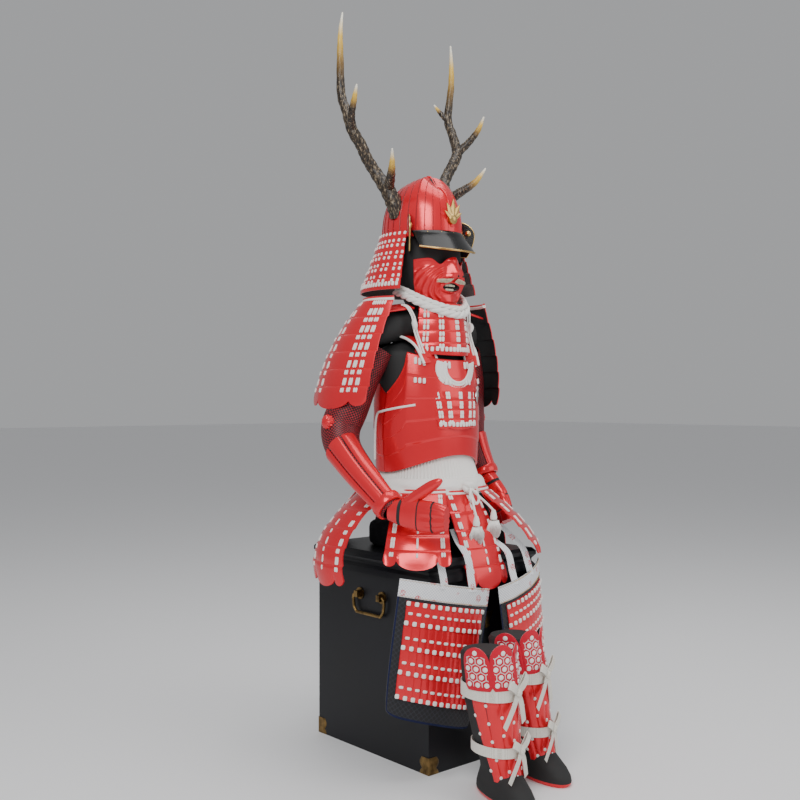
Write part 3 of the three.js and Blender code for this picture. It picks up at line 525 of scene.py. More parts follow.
@dataclass
class Shape:
    """Points in millimetres with faces, UVs and a tone for each point."""

    points: list[Point] = field(default_factory=list)
    faces: list[tuple[int, ...]] = field(default_factory=list)
    uvs: list[list[tuple[float, float]]] = field(default_factory=list)
    tones: dict[int, float] = field(default_factory=dict)
    marks: list[int] = field(default_factory=list)

    def face(self, corners: Sequence[int], uv: Sequence[tuple[float, float]], mark: int = 0) -> None:
        """Add one face with its UVs and its finish number."""
        self.faces.append(tuple(corners))
        self.uvs.append(list(uv))
        self.marks.append(mark)

    def grid(
        self, rows: Sequence[Sequence[Point]], loop: bool = False, turn: bool = False, mark: int = 0
    ) -> list[list[int]]:
        """Add a grid of quads.

        Args:
            rows: rows of points.
            loop: join the last column to the first.
            turn: face the other way.
            mark: finish number of the faces.

        Returns:
            The number of each point, row by row.
        """
        start = len(self.points)
        cols = len(rows[0])
        for row in rows:
            self.points.extend(tuple(p) for p in row)
        index = [[start + j * cols + i for i in range(cols)] for j in range(len(rows))]
        wide = [0.0]
        middle = rows[len(rows) // 2]
        for i in range(cols if loop else cols - 1):
            wide.append(wide[-1] + math.dist(middle[i], middle[(i + 1) % cols]))
        tall = [0.0]
        for j in range(len(rows) - 1):
            tall.append(tall[-1] + math.dist(rows[j][cols // 2], rows[j + 1][cols // 2]))
        for j in range(len(rows) - 1):
            for i in range(cols if loop else cols - 1):
                k = (i + 1) % cols
                quad = [index[j][i], index[j][k], index[j + 1][k], index[j + 1][i]]
                uv = [
                    (wide[i], tall[j]), (wide[i + 1], tall[j]), (wide[i + 1], tall[j + 1]),
                    (wide[i], tall[j + 1])
                ]
                if turn:
                    quad.reverse()
                    uv.reverse()
                self.face(quad, uv, mark)
        return index

    def join(self, one: Sequence[int], other: Sequence[int], mark: int = 0) -> None:
        """Join two runs of points with quads."""
        for a, b, c, d in zip(one, one[1:], other[1:], other):
            self.face((a, b, c, d), [(0, 0), (3, 0), (3, 3), (0, 3)], mark)

    def fan(self, loop: Sequence[int], mark: int = 0) -> None:
        """Close a loop of points with one face."""
        self.face(tuple(loop), [(self.points[i][0], self.points[i][2]) for i in loop], mark)

    def merge(self, other: "Shape") -> "Shape":
        """Take in another shape."""
        start = len(self.points)
        self.points.extend(other.points)
        self.faces.extend(tuple(i + start for i in f) for f in other.faces)
        self.uvs.extend(other.uvs)
        self.marks.extend(other.marks)
        self.tones.update({i + start: t for i, t in other.tones.items()})
        return self

    def mirrored(self) -> "Shape":
        """The same shape on the other side."""
        flipped = Shape([(-p[0], p[1], p[2]) for p in self.points])
        flipped.faces = [tuple(reversed(f)) for f in self.faces]
        flipped.uvs = [list(reversed(u)) for u in self.uvs]
        flipped.tones = dict(self.tones)
        flipped.marks = list(self.marks)
        return flipped

    def build(
        self, name: str, *finishes: Finish, body: Body = Body.ARMOUR, sharp: float = 38.0
    ) -> bpy.types.Object:
        """Make the object, dress it and let it ride.

        Args:
            name: piece name.
            finishes: finishes in the order of the faces' numbers.
            body: the body that it rides on.
            sharp: angle in degrees above which an edge stays crisp.

        Returns:
            The object.
        """
        mesh = bpy.data.meshes.new(name)
        mesh.from_pydata([metres(p) for p in self.points], [], self.faces)
        layer = mesh.uv_layers.new(name="UVMap")
        flat = [c for face in self.uvs for uv in face for c in uv]
        layer.data.foreach_set("uv", flat)
        tone = mesh.attributes.new("tone", "FLOAT", "POINT")
        values = [self.tones.get(i, 0.0) for i in range(len(self.points))]
        tone.data.foreach_set("value", values)
        for finish in finishes:
            mesh.materials.append(finish.material())
        mesh.polygons.foreach_set("material_index", self.marks)
        fix_normals(mesh)
        mesh.polygons.foreach_set("use_smooth", [True] * len(mesh.polygons))
        mesh.set_sharp_from_angle(angle=math.radians(sharp))
        obj = bpy.data.objects.new(name, mesh)
        bpy.context.scene.collection.objects.link(obj)
        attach(obj, body.value)
        LOG.info("%s: %d faces", name, len(mesh.polygons))
        return obj


def fix_normals(mesh: bpy.types.Mesh) -> None:
    """Weld doubled points and turn every face of a mesh outwards."""
    import bmesh

    work = bmesh.new()
    work.from_mesh(mesh)
    bmesh.ops.remove_doubles(work, verts=work.verts, dist=0.00001)
    bmesh.ops.recalc_face_normals(work, faces=work.faces)
    work.to_mesh(mesh)
    work.free()
    mesh.update()


def wall(
    outer: Sequence[Sequence[Point]], inner: Sequence[Sequence[Point]], loop: bool = False, inside: int = 0
) -> Shape:
    """A wall between two grids of points.

    Args:
        outer: outer rows.
        inner: inner rows, matched point by point.
        loop: join the last column to the first.
        inside: finish number of the inner face.

    Returns:
        The closed shape.
    """
    shape = Shape()
    a = shape.grid(outer, loop)
    b = shape.grid(inner, loop, True, inside)
    for near, far in ((a[0], b[0]), (b[-1], a[-1])):
        near = list(near) + ([near[0]] if loop else [])
        far = list(far) + ([far[0]] if loop else [])
        shape.join(far, near)
    if not loop:
        shape.join([r[0] for r in a], [r[0] for r in b])
        shape.join([r[-1] for r in b], [r[-1] for r in a])
    return shape


def loft(rings: Sequence[Sequence[Point]], mark: int = 0) -> Shape:
    """A closed body through rings, capped at both ends."""
    shape = Shape()
    index = shape.grid(rings, True, False, mark)
    shape.fan(list(reversed(index[0])), mark)
    shape.fan(index[-1], mark)
    return shape


def ring(cx: float, cf: float, z: float, a: float, b: float, power: float = 2.0, n: int = 48) -> list[Point]:
    """Level superellipse ring."""
    out = []
    for i in range(n):
        t = 2 * math.pi * i / n
        s, c = math.sin(t), math.cos(t)
        x = math.copysign(abs(s) ** (2 / power), s)
        f = math.copysign(abs(c) ** (2 / power), c)
        out.append((cx + a * x, cf + b * f, z))
    return out


def curve(points: Sequence[Sequence[float]], steps: int) -> list[list[float]]:
    """Even steps of a smooth curve through points of any width."""
    if steps < 1:
        return [list(p) for p in points]
    out = []
    n = len(points)
    for j in range(steps + 1):
        t = j / steps * (n - 1)
        i = min(int(t), n - 2)
        u = t - i
        p0, p1, p2, p3 = (points[clamp_index(k, n)] for k in (i - 1, i, i + 1, i + 2))
        row = []
        for a, b, c, d in zip(p0, p1, p2, p3):
            row.append(
                0.5 * (
                    2 * b + (c - a) * u + (2 * a - 5 * b + 4 * c - d) * u * u + (3 * b - a - 3 * c + d) * u**3
                )
            )
        out.append(row)
    return out


def clamp_index(k: int, n: int) -> int:
    """Keep an index inside a list."""
    return max(0, min(n - 1, k))


def path_frames(points: Sequence[Sequence[float]]) -> list[tuple[Vector, Vector, Vector]]:
    """Centre, side and up of a path at each point, without twist."""
    centres = [Vector(p[:3]) for p in points]
    side = None
    frames = []
    for j, centre in enumerate(centres):
        along = (centres[min(j + 1, len(centres) - 1)] - centres[max(j - 1, 0)]).normalized()
        if side is None:
            side = Vector((1, 0, 0)) if abs(along.x) < 0.8 else Vector((0, 0, 1))
        side = (side - along * side.dot(along)).normalized()
        frames.append((centre, side, along.cross(side)))
    return frames


def path_rings(points: Sequence[Sequence[float]], sides: int, grow: float = 0.0) -> list[list[Point]]:
    """Rings round a path whose points hold x, f, z and one or two radii."""
    rings = []
    for p, (centre, side, up) in zip(points, path_frames(points)):
        w = p[3] + grow
        h = (p[4] if len(p) > 4 else p[3]) + grow
        loop = []
        for i in range(sides):
            t = 2 * math.pi * i / sides
            loop.append(tuple(centre + side * (w * math.cos(t)) + up * (h * math.sin(t))))
        rings.append(loop)
    return rings


def rod(points: Sequence[Sequence[float]], sides: int = 12, steps: int = 0, mark: int = 0) -> Shape:
    """A round body along a path."""
    if steps:
        points = curve(points, steps)
    return loft(path_rings(points, sides), mark)


def twist(points: Sequence[Sequence[float]], radius: float, strands: int, turns: float, steps: int) -> Shape:
    """Strands laid round each other along a path."""
    line = curve(points, steps)
    frames = path_frames(line)
    shape = Shape()
    for s in range(strands):
        path = []
        for j, (centre, side, up) in enumerate(frames):
            t = 2 * math.pi * (turns * j / steps + s / strands)
            p = centre + (side * math.cos(t) + up * math.sin(t)) * (radius * 0.5)
            path.append((*p, radius * 0.56))
        shape.merge(loft(path_rings(path, 8)))
    return shape


def strip(
    points: Sequence[Sequence[float]], across: Sequence[Sequence[float]], width: float, thick: float,
    steps: int = 0
) -> Shape:
    """A flat ribbon along a path; across gives the way its width runs."""
    if steps:
        points = curve(points, steps)
        across = curve(across, steps)
    centres = [Vector(p) for p in points]
    outer, inner = [], []
    for j, centre in enumerate(centres):
        along = (centres[min(j + 1, len(centres) - 1)] - centres[max(j - 1, 0)]).normalized()
        side = Vector(across[j]).normalized()
        normal = along.cross(side).normalized()
        row = [centre + side * (width * k) for k in (-0.5, -0.2, 0.2, 0.5)]
        outer.append([tuple(p + normal * (thick * 0.5)) for p in row])
        inner.append([tuple(p - normal * (thick * 0.5)) for p in row])
    return wall(outer, inner)


# -------------------------------------------------------------- repeated pieces


@dataclass
class Site:
    """Where one repeated unit goes: its place, its way up and its size in millimetres."""

    at: Vector
    normal: Vector
    along: Vector
    size: tuple[float, float, float]

    def mirrored(self) -> "Site":
        """The same site on the other side."""
        def flip(v: Vector) -> Vector:
            return Vector((-v.x, v.y, v.z))

        return Site(flip(self.at), flip(self.normal), flip(self.along), self.size)


def site_on(
    place: Place, u: float, v: float, out: float, size: tuple[float, float, float], slant: float = 0.0
) -> Site:
    """A site on a sheet, lengthways down it.

    Args:
        place: the sheet's place rule.
        u: place across.
        v: place down.
        out: how far off the sheet.
        size: width, length and height.
        slant: turn in degrees about the normal.

    Returns:
        The site.
    """
    p = Vector(place(u, v, out))
    down = (Vector(place(u, min(v + 0.004, 1.0), out)) - Vector(place(u, v - 0.004, out))).normalized()
    across = (Vector(place(u + 0.01, v, out)) - Vector(place(u - 0.01, v, out))).normalized()
    normal = Vector(place(u, v, out + 1)) - p
    flat = across.cross(down).normalized()
    if flat.dot(normal) < 0:
        flat = -flat
    if slant:
        down = Matrix.Rotation(math.radians(slant), 3, flat) @ down
    return Site(p, flat, down, size)


class Repeater:
    """Geometry Nodes tree that sets out small units on marked points."""

    def __init__(self, unit: Unit) -> None:
        """Build the tree for one kind of unit."""
        self.unit = unit
        self.tree = bpy.data.node_groups.new(f"set_out_{unit.value}", "GeometryNodeTree")
        face = self.tree.interface
        face.new_socket("Geometry", in_out="INPUT", socket_type="NodeSocketGeometry")
        self.width = face.new_socket("Width scale", in_out="INPUT", socket_type="NodeSocketFloat")
        self.finish = face.new_socket("Finish", in_out="INPUT", socket_type="NodeSocketMaterial")
        face.new_socket("Geometry", in_out="OUTPUT", socket_type="NodeSocketGeometry")
        self._wire()

    def _add(self, kind: str) -> bpy.types.Node:
        """Add a node."""
        return self.tree.nodes.new(kind)

    def _unit(self) -> bpy.types.NodeSocket:
        """The mesh of one unit, one millimetre across before scaling."""
        link = self.tree.links.new
        if self.unit is Unit.LACE:
            cube = self._add("GeometryNodeMeshCube")
            cube.inputs["Size"].default_value = (1.1, 1.05, 1.2)
            soft = self._add("GeometryNodeSubdivisionSurface")
            soft.inputs["Level"].default_value = 2
            crease = soft.inputs.get("Edge Crease")
            if crease:
                crease.default_value = 0.35
            link(cube.outputs[0], soft.inputs[0])
            return soft.outputs[0]
        if self.unit is Unit.RIVET:
            ball = self._add("GeometryNodeMeshUVSphere")
            ball.inputs["Segments"].default_value = 12
            ball.inputs["Rings"].default_value = 6
            ball.inputs["Radius"].default_value = 0.5
            return ball.outputs[0]
        if self.unit is Unit.RING:
            line = self._add("GeometryNodeCurvePrimitiveCircle")
            line.inputs["Resolution"].default_value = 16
            line.inputs["Radius"].default_value = 0.42
            section = self._add("GeometryNodeCurvePrimitiveCircle")
            section.inputs["Resolution"].default_value = 6
            section.inputs["Radius"].default_value = 0.1
            swept = self._add("GeometryNodeCurveToMesh")
            link(line.outputs[0], swept.inputs["Curve"])
            link(section.outputs[0], swept.inputs["Profile Curve"])
            return swept.outputs[0]
        cone = self._add("GeometryNodeMeshCone")
        cone.inputs["Vertices"].default_value = 5
        cone.inputs["Radius Top"].default_value = 0.16
        cone.inputs["Radius Bottom"].default_value = 0.5
        cone.inputs["Depth"].default_value = 1.0
        return cone.outputs[0]

    def _wire(self) -> None:
        """Instance the unit on every point, then make it real and dress it."""
        link = self.tree.links.new
        into = self._add("NodeGroupInput")
        points = self._add("GeometryNodeMeshToPoints")
        link(into.outputs["Geometry"], points.inputs["Mesh"])
        spread = self._add("GeometryNodeInstanceOnPoints")
        link(points.outputs[0], spread.inputs["Points"])
        link(self._unit(), spread.inputs["Instance"])
        turn = self._add("GeometryNodeInputNamedAttribute")
        turn.data_type = "FLOAT_VECTOR"
        turn.inputs["Name"].default_value = "turn"
        to_rotation = self._add("FunctionNodeEulerToRotation")
        link(turn.outputs["Attribute"], to_rotation.inputs[0])
        link(to_rotation.outputs[0], spread.inputs["Rotation"])
        size = self._add("GeometryNodeInputNamedAttribute")
        size.data_type = "FLOAT_VECTOR"
        size.inputs["Name"].default_value = "size"
        scaled = self._add("ShaderNodeVectorMath")
        scaled.operation = "SCALE"
        link(size.outputs["Attribute"], scaled.inputs[0])
        link(into.outputs["Width scale"], scaled.inputs["Scale"])
        link(scaled.outputs[0], spread.inputs["Scale"])
        real = self._add("GeometryNodeRealizeInstances")
        link(spread.outputs[0], real.inputs[0])
        shade = self._add("GeometryNodeSetShadeSmooth")
        link(real.outputs[0], shade.inputs[0])
        dress = self._add("GeometryNodeSetMaterial")
        link(shade.outputs[0], dress.inputs["Geometry"])
        link(into.outputs["Finish"], dress.inputs["Material"])
        out = self._add("NodeGroupOutput")
        link(dress.outputs[0], out.inputs[0])

    def build(
        self, name: str, sites: Sequence[Site], finish: Finish, body: Body = Body.ARMOUR
    ) -> bpy.types.Object:
        """Set the units out and keep the result as a plain mesh.

        Args:
            name: piece name.
            sites: where the units go.
            finish: their finish.
            body: the body that they ride on.

        Returns:
            The object.
        """
        mesh = bpy.data.meshes.new(name + "_points")
        mesh.from_pydata([metres(s.at) for s in sites], [], [])
        turns, sizes = [], []
        for s in sites:
            along = Vector((s.along.x, -s.along.y, s.along.z)).normalized()
            normal = Vector((s.normal.x, -s.normal.y, s.normal.z))
            normal = (normal - along * normal.dot(along)).normalized()
            across = along.cross(normal)
            basis = Matrix((across, along, normal)).transposed()
            turns.extend(basis.to_euler())
            sizes.extend(c * MM for c in s.size)
        for key, values in (("turn", turns), ("size", sizes)):
            mesh.attributes.new(key, "FLOAT_VECTOR", "POINT").data.foreach_set("vector", values)
        seed = bpy.data.objects.new(name + "_points", mesh)
        bpy.context.scene.collection.objects.link(seed)
        modifier = seed.modifiers.new("set_out", "NODES")
        modifier.node_group = self.tree
        modifier[self.width.identifier] = 1.0
        modifier[self.finish.identifier] = finish.material()
        bpy.context.view_layer.update()
        graph = bpy.context.evaluated_depsgraph_get()
        made = bpy.data.meshes.new_from_object(seed.evaluated_get(graph), depsgraph=graph)
        made.name = name
        seed.modifiers.remove(modifier)
        bpy.data.objects.remove(seed)
        obj = bpy.data.objects.new(name, made)
        bpy.context.scene.collection.objects.link(obj)
        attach(obj, body.value)
        LOG.info("%s: %d units, %d faces", name, len(sites), len(made.polygons))
        return obj


_REPEATERS: dict[Unit, Repeater] = {}


def set_out(
    name: str, sites: Sequence[Site], unit: Unit, finish: Finish, body: Body = Body.ARMOUR
) -> bpy.types.Object:
    """Set out units of a kind, with one tree for each kind."""
    if unit not in _REPEATERS:
        _REPEATERS[unit] = Repeater(unit)
    return _REPEATERS[unit].build(name, sites, finish, body)


def replace(obj: bpy.types.Object, slot: str, *nodes: str) -> bpy.types.Object:
    """Let a piece stand for solids, which are hidden."""
    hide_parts(*nodes)
    return obj


# ------------------------------------------------------------------- the studio


@dataclass(frozen=True)
class Studio:
    """Camera at the photograph's angle, a pale floor and soft light."""

    at: Point = (-1788.0, 1966.0, 870.0)
    look: Point = (0.6561, 0.7547, 0.0)
    lens: float = 46.35

    def camera(self) -> None:
        """Place the camera."""
        data = bpy.data.cameras.new("camera")
        data.lens = self.lens
        data.sensor_width = 36.0
        data.clip_end = 60.0
        camera = bpy.data.objects.new("camera", data)
        camera.location = metres(self.at)
        camera.rotation_mode = "QUATERNION"
        camera.rotation_quaternion = Vector(self.look).to_track_quat("-Z", "Y")
        bpy.context.scene.collection.objects.link(camera)
        bpy.context.scene.camera = camera

    def floor(self) -> None:
        """Lay the floor."""
        bpy.ops.mesh.primitive_plane_add(size=60, location=(0, 0, 0))
        plane = bpy.context.object
        plane.name = "floor"
        graph = Graph("floor_pale")
        graph.set(Base_Color=(0.86, 0.86, 0.87), Roughness=0.7)
        plane.data.materials.append(graph.material)
        plane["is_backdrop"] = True

    def lamp(self, name: str, at: Point, size: float, power: float) -> None:
        """Hang a square lamp that faces the armour."""
        data = bpy.data.lights.new(name, "AREA")
        data.shape = "SQUARE"
        data.size = size
        data.energy = power
        lamp = bpy.data.objects.new(name, data)
        lamp.location = metres(at)
        lamp.rotation_mode = "QUATERNION"
        towards = Vector((0, 0, 0.95)) - lamp.location
        lamp.rotation_quaternion = towards.to_track_quat("-Z", "Y")
        bpy.context.scene.collection.objects.link(lamp)

    def light(self) -> None:
        """Hang the lamps and set the pale surroundings."""
        world = bpy.data.worlds.new("surroundings")
        world.use_nodes = True
        back = world.node_tree.nodes["Background"]
        back.inputs["Color"].default_value = (0.93, 0.94, 0.96, 1.0)
        back.inputs["Strength"].default_value = 0.42
        bpy.context.scene.world = world
        self.lamp("key_lamp", (-2600.0, 1900.0, 2900.0), 1.8, 92.0)
        self.lamp("fill_lamp", (1500.0, 3000.0, 1900.0), 2.6, 38.0)
        self.lamp("top_lamp", (300.0, 200.0, 3600.0), 2.0, 42.0)

    def build(self) -> None:
        """Set up everything."""
        self.camera()
        self.floor()
        self.light()


# ---------------------------------------------------------------- laced panels


@dataclass(frozen=True)
class Panel:
    """A hanging panel of laced lames that faces a way round the body.

    Radii, heights and half widths come in pairs, for the top and the bottom.
    """

    name: str
    az: float
    r: tuple[float, float]
    z: tuple[float, float]
    w: tuple[float, float]
    sag: tuple[float, float]
    belly: float
    rows: int
    forward: tuple[float, float] = (0.0, 0.0)
    columns: tuple[tuple[float, int], ...] = ((-0.78, 2), (0.0, 1), (0.78, 2))
    scallop: float = 27.0
    step: float = 3.5
    thick: float = 3.0
    full_bottom: bool = False
    strap: tuple[float, float] = (4.7, 18.0)
    domed: bool = False

    def place(self, u: float, v: float, out: float) -> Point:
        """Point of the panel at u across and v down."""
        az = math.radians(self.az)
        s, c = math.sin(az), math.cos(az)
        r = lerp(*self.r, v) + self.belly * math.sin(math.pi * clamp(v)) - lerp(*self.sag, v) * u * u + out
        last = smooth((v - 1 + 1 / self.rows) * self.rows)
        z = lerp(*self.z, v) - self.scallop * (self.lobes(u) - 0.5) * last
        side = self.half_width(v) * u
        shift = lerp(*self.forward, clamp(v) ** 0.7 if self.domed else v)
        return (s * r + c * side, shift + c * r - s * side, z)

    def half_width(self, v: float) -> float:
        """Half the width at v; a domed panel spreads early."""
        if self.domed:
            v = math.sin(math.pi * clamp(v) / 2) ** 0.75
        return lerp(*self.w, v)

    def lobes(self, u: float) -> float:
        """Outline of the bottom edge: a wide middle lobe and two small ones."""
        u = abs(u)
        if u < 0.6:
            return math.sqrt(max(1 - (u / 0.6) ** 2, 0.0)) * 0.9 + 0.1
        return 0.1 + 0.62 * math.sqrt(max(1 - ((u - 0.8) / 0.205) ** 2, 0.0))

    def relief(self, v: float) -> float:
        """How far a lame stands off at v."""
        t = (v * self.rows) % 1.0
        return self.step * (1 - t) + 1.1 * math.sin(math.pi * t)

    def body(self) -> Shape:
        """The lames."""
        outer, inner = [], []
        for k in range(self.rows):
            for t in (0.015, 0.05, 0.2, 0.45, 0.7, 0.88, 0.97):
                v = (k + t) / self.rows
                lip = 0.9 if t < 0.04 else 0.0
                out = self.relief(v) - lip
                row = [-1 + i / 20 for i in range(41)]
                outer.append([self.place(u, v, out + self.thick) for u in row])
                inner.append([self.place(u, v, out) for u in row])
        return wall(outer, inner, False, 1)

    def laces(self) -> list[Site]:
        """Straps over the gap between two lames, and the short ends below them."""
        sites = []
        tall = abs(self.z[0] - self.z[1])
        wide, long = self.strap
        for k in range(0, self.rows):
            v = k / self.rows
            half = self.half_width(v)
            for u, count in self.columns:
                for c in range(count):
                    at = u + (c - (count - 1) / 2) * (wide + 0.5) / half
                    below = v + 8.0 / tall
                    sites.append(
                        site_on(self.place, at, below, self.thick + self.step + 0.2, (wide, 10.5, 2.6))
                    )
                    if k:
                        above = v - (long / 2 + 3.0) / tall
                        off = self.thick + self.relief(above) + 0.5
                        sites.append(site_on(self.place, at, above, off, (wide, long, 2.6)))
        return sites + (self.bottom_row() if self.full_bottom else [])

    def bottom_row(self) -> list[Site]:
        """A bottom lame laced side by side all the way across."""
        v = 1 - 0.5 / self.rows
        tall = abs(self.z[0] - self.z[1]) / self.rows
        half = self.w[1]
        count = int(half * 2 * 0.94 / 9.6)
        sites = []
        for i in range(count):
            u = -0.92 + 1.84 * i / (count - 1)
            out = self.thick + self.relief(v) + 0.6
            sites.append(site_on(self.place, u, v, out, (7.4, min(tall * 0.7, 11.0), 2.6)))
        return sites

    def roll(self) -> Shape:
        """Stitched white roll along the top edge with a red rim over it."""
        shape = Shape()
        for lift, radius, off, mark in ((0.0, 4.2, 3.4, 0), (5.6, 2.6, 3.2, 1)):
            path = []
            for i in range(37):
                x, f, z = self.place(-0.98 + 1.96 * i / 36, 0.0, off)
                path.append((x, f, z + lift, radius))
            shape.merge(loft(path_rings(path, 10), mark))
        return shape

    def build(self, mirror: bool = False, name: str = "", roll: bool = True) -> None:
        """Make the lames, the laces and the roll.

        Args:
            mirror: build it on the other side.
            name: name to use instead of the panel's own.
            roll: put the roll on the top edge.
        """
        name = name or self.name
        body, laces, roll_shape = self.body(), self.laces(), self.roll()
        if mirror:
            body, roll_shape = body.mirrored(), roll_shape.mirrored()
            laces = [site.mirrored() for site in laces]
        replace(body.build(name + "_lames", RED, CLOTH), "lacquer_red", name)
        set_out(name + "_laces", laces, Unit.LACE, LACE)
        if roll:
            roll_shape.build(name + "_roll", LACE, RED)


TASSET_TABLE = (
    ("tasset_front", 0, (152, 240), (640, 428), (60, 68), (20, 10), 12),
    ("tasset_front_right", -45, (160, 300), (645, 492), (62, 80), (22, 14), 16),
    ("tasset_front_left", 45, (160, 300), (645, 492), (62, 80), (22, 14), 16),
    ("tasset_side_right", -100, (160, 282), (645, 430), (62, 78), (20, 12), 46),
    ("tasset_side_left", 100, (160, 282), (645, 430), (62, 78), (20, 12), 46),
    ("tasset_back_right", -154, (165, 290), (645, 440), (62, 76), (20, 12), 20),
    ("tasset_back_left", 154, (165, 290), (645, 440), (62, 76), (20, 12), 20),
)
TASSETS = tuple(Panel(n, az, r, z, w, sag, belly, 5) for n, az, r, z, w, sag, belly in TASSET_TABLE)
SHOULDER = Panel(
    "shoulder_guard", 90, (176, 258), (1116, 860), (60, 104), (24, 30), 14, 6, (8, -57),
    columns=((0.95, 2), (0.52, 2), (-0.38, 2), (-0.56, 2), (-0.74, 2)), scallop=27.0, step=4.0, domed=True,
)
THROAT = Panel(
    "throat_guard", 0, (112, 128), (1102, 981), (76, 92), (46, 62), 3, 4,
    columns=((-0.85, 2), (-0.5, 2), (0.0, 2), (0.5, 2), (0.85, 2)),
    scallop=4.0, step=2.5, full_bottom=True, strap=(5.6, 12.0),
)
BIB = Panel(
    "bib_lames", 0, (131, 139), (893, 799), (76, 62), (26, 17), 2, 4,
    columns=((-0.85, 2), (-0.5, 2), (0.0, 2), (0.5, 2), (0.85, 2)),
    scallop=5.0, step=2.5, full_bottom=True, strap=(5.2, 8.0),
)


# ----------------------------------------------------------------------- helmet


@dataclass(frozen=True)
class Wrap:
    """A sheet wrapped round the middle line through levels (v, a, b, forward, z)."""

    levels: tuple[tuple[float, ...], ...]
    span: float
    start: float

    def place(self, u: float, v: float, out: float) -> Point:
        """Point of the sheet."""
        a, b, f, z = table(self.levels, v)
        t = math.radians(self.start + u * self.span / 2)
        return ((a + out) * math.sin(t), f + (b + out) * math.cos(t), z)


COMB = ((-90, 1388), (-60, 1412), (-30, 1426), (5, 1436), (25, 1440), (42, 1418), (60, 1395))


